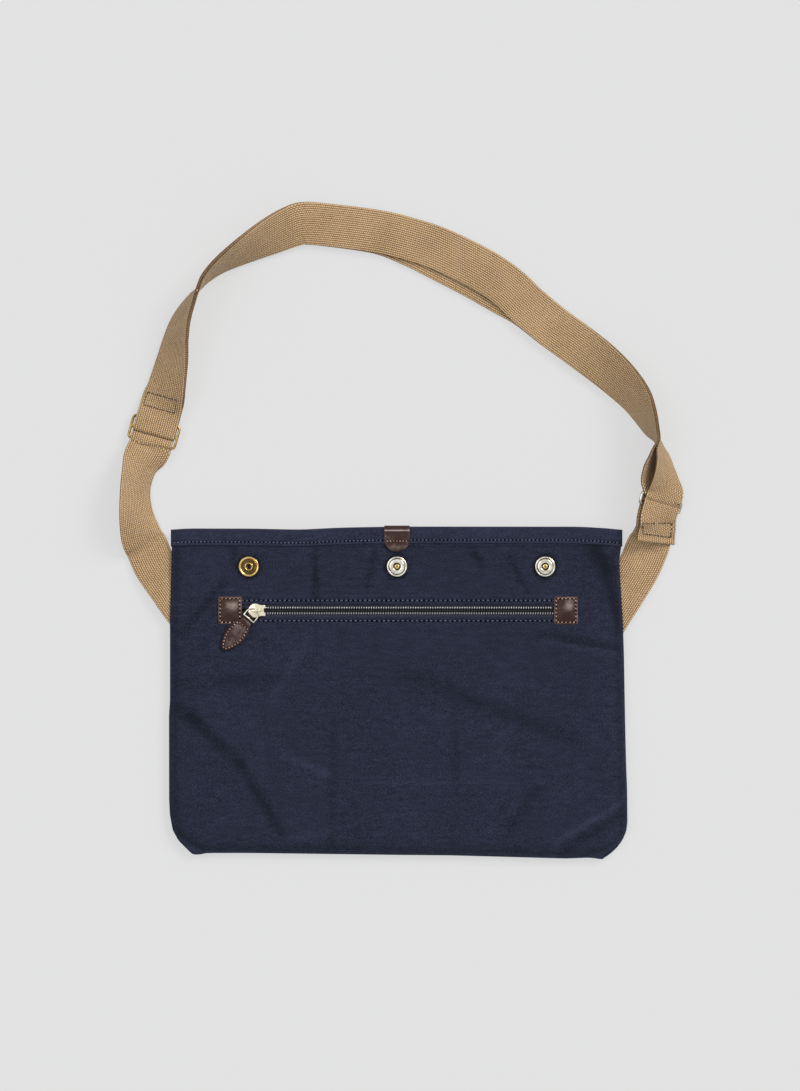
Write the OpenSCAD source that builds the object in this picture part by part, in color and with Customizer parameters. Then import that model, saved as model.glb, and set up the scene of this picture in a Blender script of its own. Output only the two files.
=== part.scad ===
// Flat canvas messenger bag with a webbing shoulder strap, lying on its back.
// X runs across the bag, Y towards the mouth, Z out of the front panel.
// The origin is the middle of the back panel's underside, on the surface it rests on.

/* [Bag] */
// Width of the bag at its mouth
bag_w = 400; // [390:1:410]
// Length from the bottom seam to the mouth
bag_h = 290; // [280:1:300]
// Thickness of one canvas panel
canvas = 1.2; // [0.8:0.1:1.4]
// Inside depth of the main compartment
room = 5.8; // [5.2:0.1:6.5]
// Radius of the two bottom corners
corner_r = 25; // [15:1:35]
// Height of the turned hem at the mouth
hem_h = 14.5; // [10:0.5:16]

/* [Zip] */
// Height of the zip's centre line above the middle of the bag
zip_y = 73; // [60:1:80]
// Coil pitch along one side of the zip
pitch = 2.18; // [2:0.02:2.5]
// Width of the closed chain
chain_w = 7; // [6.6:0.1:7.4]
// Opening between the folded canvas edges
slot_w = 10; // [9.8:0.1:12]

/* [Snaps] */
// Distance from the middle snap to each outer one
snap_gap = 131.5; // [120:0.5:140]
// Height of the snaps above the middle of the bag
snap_y = 112; // [108:0.5:116]
// Flange diameter of a snap
snap_d = 18.2; // [15:0.1:20]

/* [Strap] */
// Width of the strap webbing
web_w = 38; // [37:0.5:39]
// Thickness of the strap webbing
web_t = 1.8; // [1.4:0.1:1.8]
// Wire diameter of the rectangular ring
ring_d = 3; // [2.5:0.1:3]
// Wire diameter of the tri-glide
glide_d = 2.4; // [2:0.1:2.6]

/* [Hidden] */
$fn = 48;

navy = [0.17, 0.18, 0.24];
khaki = [0.70, 0.58, 0.46];
hide = [0.24, 0.15, 0.12];
brass = [0.75, 0.62, 0.33];
nickel = [0.80, 0.79, 0.74];

// Heights of the layers, from the back panel up
lining = 0.5;
inner_z = canvas + room;
pocket_z = inner_z + lining;
tape_z = pocket_z + 1.6;
tape_t = 0.5;
front_z = tape_z + tape_t;
face_z = front_z + canvas;
coil_t = 2;

half_w = bag_w / 2;
mouth_y = bag_h / 2;
low_y = -bag_h / 2 - 1;
hem_y = mouth_y - hem_h;
flare = 3;

// ---- Small helpers ----

function arc(cx, cy, r, a0, a1, n = 10) =
  [for (i = [0:n]) [cx + r * cos(a0 + (a1 - a0) * i / n), cy + r * sin(a0 + (a1 - a0) * i / n)]];
function unit(v) = v / norm(v);
function smooth(a, b, c, d, t) =
  0.5 * (2 * b + (c - a) * t + (2 * a - 5 * b + 4 * c - d) * t * t + (3 * b - a - 3 * c + d) * t * t * t);
function slope(a, b, c, d, t) =
  0.5 * ((c - a) + 2 * (2 * a - 5 * b + 4 * c - d) * t + 3 * (3 * b - a - 3 * c + d) * t * t);
function reversed(list) = [for (i = [len(list) - 1:-1:0]) list[i]];

// The bag's outline, drawn in by a margin: slightly flared sides and round bottom corners
function outline(inset = 0, top = mouth_y) = let (w = half_w - inset, y = low_y + inset, r = corner_r - inset)
  concat([[w, top], [w + flare, low_y + 2 * corner_r]],
    arc(w + flare - r - 1, y + r - 1, r, 0, -90),
    [[0, y + 0.5]],
    arc(-w - flare + r + 4, y + r, r, -90, -180),
    [[-w - flare, low_y + 2 * corner_r], [-w, top]]);

module plate(z, t, inset = 0, top = mouth_y) {
  translate([0, 0, z]) linear_extrude(t) polygon(outline(inset, top));
}

module rounded_bar(size, r) {
  w = size[0] / 2 - r;
  h = size[1] / 2 - r;
  polygon(concat(arc(w, h, r, 0, 90, 6), arc(-w, h, r, 90, 180, 6),
    arc(-w, -h, r, 180, 270, 6), arc(w, -h, r, 270, 360, 6)));
}

// ---- Cloth shell ----

tail_slot_y = [38, 124];

module back_panel() {
  color(navy) plate(0, canvas, 0, hem_y);
}

module snap_holes() {
  for (x = [-snap_gap, 0, snap_gap])
    translate([x, snap_y, front_z - 1]) cylinder(d = 4, h = canvas + 2);
}

slot_x = [-150, 152];

module front_panel() {
  color(navy) difference() {
    plate(front_z, canvas, 0, hem_y);
    translate([slot_x[0], zip_y - slot_w / 2, front_z - 1])
      cube([slot_x[1] - slot_x[0], slot_w, canvas + 2]);
    snap_holes();
  }
}

// Turned-in seam allowances that close both sides and the bottom
module seam_binding() {
  color(navy) difference() {
    plate(canvas, front_z - canvas, 0, hem_y);
    translate([0, 0, canvas - 1]) linear_extrude(front_z) polygon(outline(5, mouth_y + 10));
    for (side = [-1, 1])
      translate([side * half_w - 15, tail_slot_y[0], 0])
        cube([30, tail_slot_y[1] - tail_slot_y[0], canvas + room / 2 + 1.9]);
  }
}

module front_hem() {
  color(navy) translate([-half_w - 1, hem_y, front_z - 0.2]) cube([bag_w + 2, hem_h, 2 * canvas - 0.4]);
}

module back_hem() {
  color(navy) translate([-half_w - 1, hem_y, 0]) cube([bag_w + 2, hem_h, 2 * canvas - 0.4]);
}

// ---- Leather ----

tab_w = 22.5;
tab_drop = 20;
tab_t = 1;

module tab_lobe(z) {
  r = tab_w / 2;
  translate([0, 0, z]) linear_extrude(tab_t)
    polygon(concat([[r, mouth_y + tab_t], [-r, mouth_y + tab_t]],
      arc(0, mouth_y - tab_drop + r, r, 180, 360, 16)));
}

// Folded over the front hem, with one lobe outside and one inside
module top_tab() {
  hem_low = front_z - 0.2;
  hem_top = hem_low + 2 * canvas - 0.4;
  color(hide) {
    tab_lobe(hem_top);
    tab_lobe(hem_low - tab_t);
    translate([-tab_w / 2, mouth_y, hem_low - tab_t]) cube([tab_w, tab_t, hem_top - hem_low + 2 * tab_t]);
  }
}

patch = [21, 24.5];
patch_t = 1.2;
dome_r = 60;

// A stitched square with a low dome where the zip's end lies under it
module zip_patch(x) {
  color(hide) translate([x, zip_y, face_z]) {
    linear_extrude(patch_t) rounded_bar(patch, 1.5);
    intersection() {
      translate([0, 0, patch_t + 0.7 - dome_r]) sphere(r = dome_r, $fn = 96);
      translate([0, 0, patch_t - 0.2]) cylinder(d = 16, h = 3);
    }
  }
}

patch_x = 149;

module patch_left() {
  zip_patch(-patch_x + 0.8);
}

module patch_right() {
  zip_patch(patch_x + 1);
}

// ---- Pocket behind the zip ----

pocket = [308, 178];

module pocket_lining_back() {
  color("dimgray") translate([0, zip_y + 14 - pocket[1] / 2, inner_z])
    linear_extrude(lining) rounded_bar(pocket, 6);
}

module pocket_lining_front() {
  depth = pocket[1] - 30;
  color("dimgray") translate([0, zip_y - 14 - depth / 2, front_z - lining])
    linear_extrude(lining) rounded_bar([pocket[0], depth], 6);
}

// ---- Zip ----

tape_gap = 1.3;
tape_reach = 13.5;

module zip_tape(side) {
  low = side > 0 ? zip_y + tape_gap : zip_y - tape_reach;
  color(navy) translate([-160, low, tape_z]) cube([322, tape_reach - tape_gap, tape_t]);
}

module zip_tape_upper() {
  zip_tape(1);
}

module zip_tape_lower() {
  zip_tape(-1);
}

chain_x = [-127, 139];
turns = floor((chain_x[1] - chain_x[0]) / pitch) - 1;

// One coil turn seen from above: a neck out of the spine, and a wider head that locks
function turn_points(x, side) = [for (p = [[-0.4, 1.5], [-0.4, 0.35], [-0.5, 0.15], [-0.5, -0.5],
    [-0.25, -0.75], [0.25, -0.75], [0.5, -0.5], [0.5, 0.15], [0.4, 0.35], [0.4, 1.5]])
  [x + p[0], side * p[1]]];

// The spine carries every turn of one side, half a pitch along from the other side's
module zip_coil(side) {
  first = chain_x[0] + pitch * (side > 0 ? 0.5 : 1);
  teeth = [for (i = [0:turns - 1]) each turn_points(first + i * pitch, side)];
  spine = [[chain_x[1], side * 1.5], [chain_x[1], side * chain_w / 2],
    [chain_x[0], side * chain_w / 2], [chain_x[0], side * 1.5]];
  color(nickel) translate([0, zip_y, front_z]) linear_extrude(coil_t) polygon(concat(teeth, spine));
}

module zip_coil_upper() {
  zip_coil(1);
}

module zip_coil_lower() {
  zip_coil(-1);
}

module zip_top_stops() {
  color(nickel) for (side = [-1, 1])
    translate([-136, zip_y + side * 2.6, front_z]) linear_extrude(1.1) rounded_bar([3, 2.2], 0.5);
}

module zip_bottom_stop() {
  color(nickel) translate([143, zip_y, front_z]) linear_extrude(1.1) rounded_bar([3, 6], 0.6);
}

// ---- Slider, with its pull ----

slider_x = -124.4;
slider_top_z = front_z + coil_t + 0.4;
slider_low_z = tape_z - 1.3;
plate_t = 1.1;
bail_z = slider_top_z + plate_t;
ring_wire = 1.35;
pull_z = bail_z + 1.25;

// Half the slider's outline, from the nose to the rear prong
slider_side = [[-7.5, 0], [-7.3, 1.6], [-6.5, 2.9], [-5.2, 4.6], [-3.4, 5.9], [-1.2, 6.2], [1, 5.7],
  [2.8, 4.9], [5, 4.7], [7.4, 4.9], [7.6, 4.4], [7.6, 2.7], [7.1, 2.1], [6.5, 1.9], [6.3, 0]];

module slider_plate(z, t, shrink) {
  half = [for (p = slider_side) [p[0] * shrink, p[1] * shrink]];
  mirrored = [for (i = [len(half) - 2:-1:1]) [half[i][0], -half[i][1]]];
  translate([0, 0, z]) linear_extrude(t) polygon(concat(half, mirrored));
}

// Two shield-shaped plates joined by a wedge, with flanges that hold the chain together
module slider_body() {
  color(nickel) translate([slider_x, zip_y, 0]) {
    slider_plate(slider_top_z, plate_t, 1);
    slider_plate(bail_z - 0.3, 0.55, 0.86);
    slider_plate(slider_low_z, 1, 0.96);
    translate([0, 0, slider_low_z + 0.5]) linear_extrude(slider_top_z - slider_low_z)
      polygon([[-6.9, 0], [-6, 0.85], [-3.4, 0.5], [-3, 0], [-3.4, -0.5], [-6, -0.85]]);
    for (side = [-1, 1])
      translate([0, 0, slider_top_z - 1.1]) linear_extrude(1.5)
        polygon([[-2, side * 3.95], [7.4, side * 3.8], [7.4, side * 4.65], [1, side * 4.65],
          [-2, side * 4.75]]);
  }
}

// Cast arch over the slider that the pull ring passes through
module slider_bail() {
  arch_w = 1.6;
  color(nickel) translate([slider_x - 0.9, zip_y + arch_w / 2, bail_z + 0.25]) rotate([90, 0, 0])
    linear_extrude(arch_w) difference() {
      polygon(concat([[-4.7, 0]], arc(-2.9, 1.9, 1.6, 180, 90, 6), arc(2.9, 1.9, 1.6, 90, 0, 6), [[4.7, 0]]));
      polygon(concat([[-3.2, -1]], arc(-2.2, 1.3, 1, 180, 90, 6), arc(2.2, 1.3, 1, 90, 0, 6), [[3.2, -1]]));
    }
}

// The ring's bow turns in the bail about a line that runs along its straight bar
pull_turn = -40;
hook = [slider_x - 0.9, zip_y + 0.3, pull_z];
bow_r = 5.6;
leg = 3.9;
bar_drop = 0.3;
ring_pitch = asin(bar_drop / (bow_r + leg));

module in_ring_frame() {
  translate(hook) rotate([0, 0, pull_turn]) rotate([ring_pitch, 0, 0]) children();
}

module pull_ring() {
  r = ring_wire / 2;
  color(nickel) in_ring_frame() translate([0, -bow_r, 0]) {
    rotate_extrude(angle = 180) translate([bow_r, 0]) circle(r = r, $fn = 24);
    for (side = [-1, 1]) {
      translate([side * bow_r, 0, 0]) rotate([90, 0, 0]) cylinder(r = r, h = leg, $fn = 24);
      translate([side * bow_r, -leg, 0]) sphere(r = r, $fn = 24);
    }
    translate([-bow_r, -leg, 0]) rotate([0, 90, 0]) cylinder(r = r, h = 2 * bow_r, $fn = 24);
  }
}

pull_t = 2.2;
pull_slope = 1.4;

// Half width of the leather at each part of its length, from the bar to the tip
pull_side = [[0, 4.4], [3.5, 4.4], [6, 5.6], [9, 7.2], [12.5, 8], [17, 7.8], [22, 6.6], [27, 4.9],
  [31.5, 3.1], [34.5, 1.6], [35.7, 0.7], [36, 0]];

module leather_pull() {
  loop_r = ring_wire / 2 + 0.07;
  outline_pts = concat([for (p = pull_side) [p[1], -p[0]]],
    [for (i = [len(pull_side) - 2:-1:0]) [-pull_side[i][1], -pull_side[i][0]]]);
  color(hide) in_ring_frame() translate([0, -bow_r - leg, 0]) rotate([pull_slope, 0, 0])
    difference() {
      union() {
        translate([-4.4, 0, 0]) rotate([0, 90, 0]) cylinder(r = loop_r + 1.1, h = 8.8);
        translate([0, 0, -pull_t / 2]) linear_extrude(pull_t) polygon(outline_pts);
      }
      translate([-10, 0, 0]) rotate([0, 90, 0]) cylinder(r = loop_r, h = 20);
    }
}

// ---- Snaps ----

module snap_stud_left() {
  r = snap_d / 2;
  color(brass) translate([-snap_gap, snap_y, face_z]) rotate_extrude()
    polygon([[2.05, 0], [r - 0.7, 0], [r - 0.1, 0.5], [r - 0.1, 0.9], [r - 0.5, 1.3], [r - 1.1, 1.3],
      [r - 1.9, 0.8], [5, 0.6], [3.7, 0.9], [3.7, 2.9], [3.4, 3.3], [3, 3.4], [2.6, 3.1], [2.4, 1.2],
      [2.05, 0.9]]);
}

module snap_socket(x) {
  r = snap_d / 2;
  color(nickel) translate([x, snap_y, face_z]) rotate_extrude()
    polygon([[3.15, 0], [r - 0.6, 0], [r, 0.5], [r, 1.1], [r - 0.4, 1.6], [r - 1.1, 1.7], [r - 1.7, 1.4],
      [7.4, 1.1], [7.1, 1.1], [6.9, 2.2], [6.5, 2.7], [5.2, 2.9], [4.1, 2.8], [3.5, 2.6], [3.15, 2.2]]);
}

module snap_socket_middle() {
  snap_socket(0);
}

module snap_socket_right() {
  snap_socket(snap_gap);
}

// Eyelet from inside the bag: a flange, a barrel through the canvas and a rolled head
module snap_post(x, head_r, head_z) {
  color(brass) translate([x, snap_y, front_z]) rotate_extrude()
    polygon([[1.2, -1], [7.5, -1], [7.8, -0.6], [7.5, -0.05], [1.95, -0.05], [1.95, canvas + head_z],
      [head_r, canvas + head_z + 0.1], [head_r, canvas + head_z + 0.4], [head_r - 0.4, canvas + head_z + 0.7],
      [1.2, canvas + head_z + 0.5]]);
}

module snap_post_left() {
  snap_post(-snap_gap, 2.3, 1.2);
}

module snap_post_middle() {
  snap_post(0, 2.9, 0);
}

module snap_post_right() {
  snap_post(snap_gap, 2.9, 0);
}

// ---- Strap ----
// A ribbon is a list of sections, each [centre, direction across, direction through].
// A station of a route is [x, y, z, tilt]: the tilt raises the edge on the left of travel.

half_web = web_w / 2;
half_t = web_t / 2;
hinge_y = 128;
layer_gap = 2.4;

function rest_z(tilt, layers = 1) =
  half_web * abs(sin(tilt)) + (layers == 1 ? half_t : (web_t + layer_gap) / 2) * abs(cos(tilt));
function heading(d) = unit([-d[1], d[0], 0]);
function across(d, tilt) = cos(tilt) * heading(d) + sin(tilt) * [0, 0, 1];
function through(d, tilt) = unit(cross(d, across(d, tilt)));
function place(s) = [s[0], s[1], s[2]];

function section(a, b, c, d, t) =
  let (p = smooth(a, b, c, d, t), dir = unit(place(slope(a, b, c, d, t))))
  [place(p), across(dir, p[3]), through(dir, p[3])];

function route(s, steps = 3) = let (n = len(s))
  concat([for (i = [0:n - 2]) for (k = [0:steps - 1])
      section(s[max(i - 1, 0)], s[i], s[i + 1], s[min(i + 2, n - 1)], k / steps)],
    [section(s[max(n - 3, 0)], s[n - 2], s[n - 1], s[n - 1], 0.999)]);

function turned_back(sections) = [for (s = reversed(sections)) [s[0], s[1], -s[2]]];

module ribbon(sections) {
  n = len(sections);
  points = [for (s = sections) for (k = [[1, 1], [-1, 1], [-1, -1], [1, -1]])
    s[0] + k[0] * half_web * s[1] + k[1] * half_t * s[2]];
  sides = [for (i = [0:n - 2]) for (j = [0:3]) each [
    [4 * i + j, 4 * i + (j + 1) % 4, 4 * i + 4 + j],
    [4 * i + (j + 1) % 4, 4 * i + 4 + (j + 1) % 4, 4 * i + 4 + j]]];
  polyhedron(points, concat([[0, 3, 2], [0, 2, 1]], sides,
    [[4 * n - 4, 4 * n - 3, 4 * n - 2], [4 * n - 4, 4 * n - 2, 4 * n - 1]]), convexity = 10);
}

// The rectangular ring's own frame: u along its long side, v up the strap, n out of its plane
ring_turn = -15;
ring_tilt = -30;
ring_at = [233.8, 168.9, 13.4];
ring_u = [cos(ring_tilt) * cos(ring_turn), cos(ring_tilt) * sin(ring_turn), sin(ring_tilt)];
ring_v = [-sin(ring_turn), cos(ring_turn), 0];
ring_n = cross(ring_u, ring_v);
function on_ring(v, n, tilt) = concat(ring_at + v * ring_v + n * ring_n, [tilt]);

// The tri-glide's own frame: u outwards along its bars, v up the strap, n up
glide_turn = 164.5;
glide_at = [-216, 231.6, 5.3];
glide_u = [cos(glide_turn), sin(glide_turn), 0];
glide_v = [sin(glide_turn), -cos(glide_turn), 0];
glide_n = [0, 0, 1];
function on_glide(v, n) = concat(glide_at + v * glide_v + n * glide_n, [0]);

// Both layers over the shoulder: [x, y, tilt, how far the under layer slips inwards]
arc_route = [[-204, 273, -28, 0], [-199, 296, -43, 0], [-196, 313, -54, 0], [-191, 331, -64, 0],
  [-182, 349, -77, 0], [-176, 358, -86, 0], [-169, 368, -94, 0], [-155, 380, -104, 0],
  [-132, 394, -122, 0], [-108, 407, -143, 0], [-93, 414, -155, 0], [-82, 417, -168, 0],
  [-62, 416, -180, 0], [-16, 410, -180, 1], [16, 402, -180, 5], [39, 394, -180, 8],
  [74, 377, -180, 9], [98, 361, -180, 7], [116, 344, -180, 1], [139, 325, -180, 0],
  [162, 308, -172, 0], [182, 292, -158, 0], [198, 277, -145, 0], [211, 262, -131, 0],
  [219, 248, -119, 0], [226, 233, -108, 0], [231, 224, -97, 0]];

// One layer of the pair: side is 1 for the sewn layer and -1 for the sliding one
function layer(side) = let (n = len(arc_route)) [for (i = [0:n - 1])
  let (p = arc_route[i], a = arc_route[max(i - 1, 0)], b = arc_route[min(i + 1, n - 1)],
    dir = unit([b[0] - a[0], b[1] - a[1], 0]), slip = side > 0 ? p[3] : 0,
    c = [p[0], p[1], rest_z(p[2], 2)] + side * layer_gap / 2 * through(dir, p[2]) + slip * across(dir, p[2]))
  concat(c, [p[2]])];

function flat_station(x, y, tilt, lift = 0) = [x, y, rest_z(tilt) + lift, tilt];

glide_fold = glide_d / 2 + 0.1 + half_t;
ring_fold = ring_d / 2 + 0.9 + half_t;
short_fold = ring_d / 2 + 0.3 + half_t;

// Sewn end under the centre bar, round it and up over the shoulder to the ring
sewn_end = [for (v = [27, 14, 1]) [glide_at + v * glide_v - glide_fold * glide_n, glide_u, -glide_n]];
glide_loop = [for (a = [0:22.5:180])
  let (r = -cos(a) * glide_n - sin(a) * glide_v) [glide_at + glide_fold * r, glide_u, r]];
upper_layer = route(concat([on_glide(2, glide_fold), on_glide(12, glide_fold), on_glide(20, 0.6),
  on_glide(30, -0.4)], layer(1),
  [flat_station(235, 216, -80, 0.3), flat_station(238, 207, -70, 0.8), flat_station(239.5, 198, -60, 1.5),
  flat_station(240, 189, -48, 3), on_ring(12, ring_fold, ring_tilt), on_ring(4.4, ring_fold, ring_tilt)]));
ring_loop = [for (a = [22.5:22.5:157.5])
  let (r = cos(a) * ring_n - sin(a) * ring_v) [ring_at + 4.4 * ring_v + ring_fold * r, ring_u, r]];

// From the left seam, through the tri-glide and over the shoulder underneath
left_strand = [[-222.5, hinge_y + 0.5, 1.7, 0], flat_station(-226, 136, 14), flat_station(-228.5, 145, 28),
  flat_station(-231, 158, 42), flat_station(-232, 172, 49), flat_station(-231.5, 184, 50),
  flat_station(-229, 197, 44), flat_station(-226, 206, 28)];
lower_layer = route(concat(left_strand, [on_glide(-15, 0.2), on_glide(-10.5, 2.3), on_glide(-6, -0.7),
  on_glide(-2, -4), on_glide(3, -4.4), on_glide(28, -4.4)], layer(-1),
  [flat_station(230.5, 216, -74), flat_station(232, 207, -62), flat_station(231, 198, -50),
  flat_station(231.5, 189, -40), on_ring(12, -ring_fold, ring_tilt), on_ring(4.4, -ring_fold, ring_tilt)]));

// The long webbing is one ribbon, folded at the tri-glide and at the ring
module strap_long() {
  color(khaki) ribbon(concat(sewn_end, glide_loop, upper_layer, ring_loop, turned_back(lower_layer)));
}

right_strand = [[222.6, hinge_y + 0.5, 1.7, 0], flat_station(225.5, 136, 12), flat_station(228, 145, 24)];
folded_strand = [[224.5, 134.5, 4.3, 0], [226.5, 140, 7.6, 14], [228.7, 146.5, 12, 26]];

// The short webbing comes up from the right seam, round the ring and back down in front
module strap_short() {
  up = route(concat(right_strand,
    [on_ring(-14, -short_fold, -ring_tilt), on_ring(-4, -short_fold, -ring_tilt)]));
  back = route(concat(folded_strand,
    [on_ring(-14, short_fold, -ring_tilt), on_ring(-4, short_fold, -ring_tilt)]));
  loop = [for (a = [22.5:22.5:157.5])
    let (r = cos(a) * ring_n - sin(a) * ring_v) [ring_at - 4 * ring_v - short_fold * r, -ring_u, r]];
  color(khaki) ribbon(concat(up, loop, turned_back(back)));
}

seam_z = canvas + room / 2 + 0.6;

// The end of the webbing that is caught in the side seam
module strap_tail(stations, side) {
  color(khaki) intersection() {
    ribbon(route(stations));
    translate([side > 0 ? half_w - 7 : -half_w - 93, 0, -10]) cube([100, 200, 60]);
  }
}

module strap_tail_left() {
  strap_tail([[-177, 59, seam_z, 0], [-195, 83, seam_z, 0], [-201, 92, seam_z, 0], [-215, 112, 2.6, 0],
    [-222.2, hinge_y - 0.5, 1.7, 0]], -1);
}

module strap_tail_right() {
  strap_tail([[179, 53, seam_z, 0], [192, 74, seam_z, 0], [201, 88, seam_z, 0], [215, 111, 2.6, 0],
    [222, hinge_y - 1, 1.7, 0]], 1);
}

// ---- Strap metalwork ----

// A rod along X between two round corners
module rod(len, d) {
  translate([-len / 2, 0, 0]) rotate([0, 90, 0]) cylinder(d = d, h = len, $fn = 24);
}

module wire_frame(w, h, d, r) {
  for (side = [-1, 1]) {
    translate([0, side * h / 2, 0]) rod(w - 2 * r, d);
    translate([side * w / 2, 0, 0]) rotate([0, 0, 90]) rod(h - 2 * r, d);
    for (up = [-1, 1])
      translate([side * (w / 2 - r), up * (h / 2 - r), 0])
        rotate([0, 0, side > 0 ? (up > 0 ? 0 : 270) : (up > 0 ? 90 : 180)])
          rotate_extrude(angle = 90) translate([r, 0]) circle(d = d, $fn = 24);
  }
}

module strap_ring() {
  color(nickel) translate(ring_at) rotate([0, 0, ring_turn]) rotate([0, -ring_tilt, 0])
    wire_frame(web_w + 5, 11, ring_d, 3);
}

module tri_glide() {
  color(brass) translate(glide_at) rotate([0, 0, glide_turn - 180]) {
    wire_frame(web_w + 4.4, 21, glide_d, 3.5);
    rod(web_w + 4.4, glide_d);
  }
}

back_panel();
front_panel();
seam_binding();
front_hem();
back_hem();
top_tab();
pocket_lining_back();
pocket_lining_front();
zip_tape_upper();
zip_tape_lower();
zip_coil_upper();
zip_coil_lower();
zip_top_stops();
zip_bottom_stop();
patch_left();
patch_right();
slider_body();
slider_bail();
pull_ring();
leather_pull();
snap_stud_left();
snap_socket_middle();
snap_socket_right();
snap_post_left();
snap_post_middle();
snap_post_right();
strap_tail_left();
strap_tail_right();
strap_long();
strap_short();
strap_ring();
tri_glide();
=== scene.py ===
# %% [markdown]
# # Canvas messenger bag
# A flat canvas bag lies on its back, with its webbing strap laid out above it. The hidden solid
# model gives the frame, the metal parts and every joint. This notebook makes the cloth, the leather,
# the stitches and the finishes round it. All lengths are metres, and `MM` turns millimetres to metres.

# %% Frame
import math

import bmesh
import bpy
import numpy as np
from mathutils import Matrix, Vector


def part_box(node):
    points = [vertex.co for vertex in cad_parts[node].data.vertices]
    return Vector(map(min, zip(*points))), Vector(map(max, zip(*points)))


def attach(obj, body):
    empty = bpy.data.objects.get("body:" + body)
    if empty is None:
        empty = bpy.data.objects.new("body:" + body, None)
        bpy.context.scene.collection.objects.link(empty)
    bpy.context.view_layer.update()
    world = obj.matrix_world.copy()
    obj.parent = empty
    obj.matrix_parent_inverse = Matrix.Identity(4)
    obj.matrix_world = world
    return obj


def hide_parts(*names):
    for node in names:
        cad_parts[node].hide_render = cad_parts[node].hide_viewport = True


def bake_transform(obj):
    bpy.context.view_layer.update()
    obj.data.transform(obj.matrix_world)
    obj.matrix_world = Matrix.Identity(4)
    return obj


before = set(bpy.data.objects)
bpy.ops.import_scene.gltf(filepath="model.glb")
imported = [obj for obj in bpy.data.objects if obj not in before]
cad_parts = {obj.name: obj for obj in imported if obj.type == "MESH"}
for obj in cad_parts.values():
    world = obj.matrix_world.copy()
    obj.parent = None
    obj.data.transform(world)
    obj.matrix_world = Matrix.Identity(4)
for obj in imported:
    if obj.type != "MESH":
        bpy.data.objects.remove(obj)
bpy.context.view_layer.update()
MM = 0.001

# %% [markdown]
# ## Camera and light
# The bag is seen from straight above. One large soft lamp stands to the upper right and a pale sky
# fills the shadows, so the strap throws a faint shadow to the lower left. The table is pale grey.

# %% Camera
CAMERA_Z = 3.0
AIM = (0.00267, 0.13067)
SENSOR = 36
SEEN = 0.9698
FOCUS_Z = 0.006

camera = bpy.data.objects.new("camera", bpy.data.cameras.new("camera"))
camera.location = (*AIM, CAMERA_Z)
camera.data.sensor_width = SENSOR
camera.data.lens = SENSOR * (CAMERA_Z - FOCUS_Z) / SEEN
camera.data.clip_end = 20
bpy.context.scene.collection.objects.link(camera)
bpy.context.scene.camera = camera
bpy.context.scene.view_settings.view_transform = "Standard"


def sun(name, toward, spread, strength, colour):
    """Sunlight that comes from the direction toward, softened by its spread in degrees."""
    data = bpy.data.lights.new(name, "SUN")
    data.energy = strength
    data.angle = math.radians(spread)
    data.color = colour
    thing = bpy.data.objects.new(name, data)
    thing.location = toward
    thing.rotation_euler = (math.atan2(math.hypot(toward[0], toward[1]), toward[2]), 0,
                            math.atan2(toward[1], toward[0]) + math.pi / 2)
    bpy.context.scene.collection.objects.link(thing)


sun("key_light", (1.0, 0.85, 0.95), 28, 2.2, (1, 0.985, 0.955))
sun("fill_light", (-0.8, 0.3, 1.2), 40, 0.6, (1, 1, 1))
world = bpy.data.worlds.new("sky")
bpy.context.scene.world = world
world.use_nodes = True
sky = world.node_tree
direction = sky.nodes.new("ShaderNodeTexCoord")
height = sky.nodes.new("ShaderNodeSeparateXYZ")
sky.links.new(height.inputs[0], direction.outputs["Generated"])
rise = sky.nodes.new("ShaderNodeMapRange")
for slot_name, value in (("From Min", 0.0), ("From Max", 0.9), ("To Min", 0.22), ("To Max", 0.81)):
    rise.inputs[slot_name].default_value = value
sky.links.new(rise.inputs["Value"], height.outputs["Z"])
sky.nodes["Background"].inputs["Color"].default_value = (0.95, 0.97, 1, 1)
sky.links.new(sky.nodes["Background"].inputs["Strength"], rise.outputs["Result"])
print("camera and light set")

# %% [markdown]
# ## Small tools
# A finish is a tree of shader nodes. `Wire` stands for one output of a node, so that a formula can be
# written with plain signs. `Finish` starts a material and adds any node to it.

# %% Node tools


class Wire:
    """One output of a shader node. Plain arithmetic on it adds Math nodes."""

    def __init__(self, tree, socket):
        self.tree, self.socket = tree, socket

    def math(self, operation, *values):
        node = self.tree.nodes.new("ShaderNodeMath")
        node.operation = operation
        for slot, value in zip(node.inputs, values):
            plug(self.tree, slot, value)
        return Wire(self.tree, node.outputs[0])

    def __add__(self, other):
        return self.math("ADD", self, other)

    def __radd__(self, other):
        return self.math("ADD", other, self)

    def __sub__(self, other):
        return self.math("SUBTRACT", self, other)

    def __rsub__(self, other):
        return self.math("SUBTRACT", other, self)

    def __mul__(self, other):
        return self.math("MULTIPLY", self, other)

    def __rmul__(self, other):
        return self.math("MULTIPLY", other, self)

    def __truediv__(self, other):
        return self.math("DIVIDE", self, other)

    def __rtruediv__(self, other):
        return self.math("DIVIDE", other, self)

    def __gt__(self, other):
        return self.math("GREATER_THAN", self, other)

    def __abs__(self):
        return self.math("ABSOLUTE", self)

    def sin(self):
        return self.math("SINE", self)

    def ramp(self, low, high):
        """0 below low and 1 above high, with a smooth rise between."""
        node = self.tree.nodes.new("ShaderNodeMapRange")
        node.interpolation_type = "SMOOTHSTEP"
        for name, value in (("Value", self), ("From Min", low), ("From Max", high)):
            plug(self.tree, node.inputs[name], value)
        return Wire(self.tree, node.outputs["Result"])


def plug(tree, slot, value):
    """Links a wire to a slot, or sets a plain value there."""
    if isinstance(value, Wire):
        tree.links.new(slot, value.socket)
    else:
        slot.default_value = value


def paint(red, green, blue):
    """Linear colour of screen levels from 0 to 255."""
    level = np.array([red, green, blue]) / 255
    line = np.where(level <= 0.04045, level / 12.92, ((level + 0.055) / 1.055) ** 2.4)
    return (*line.tolist(), 1.0)


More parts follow.
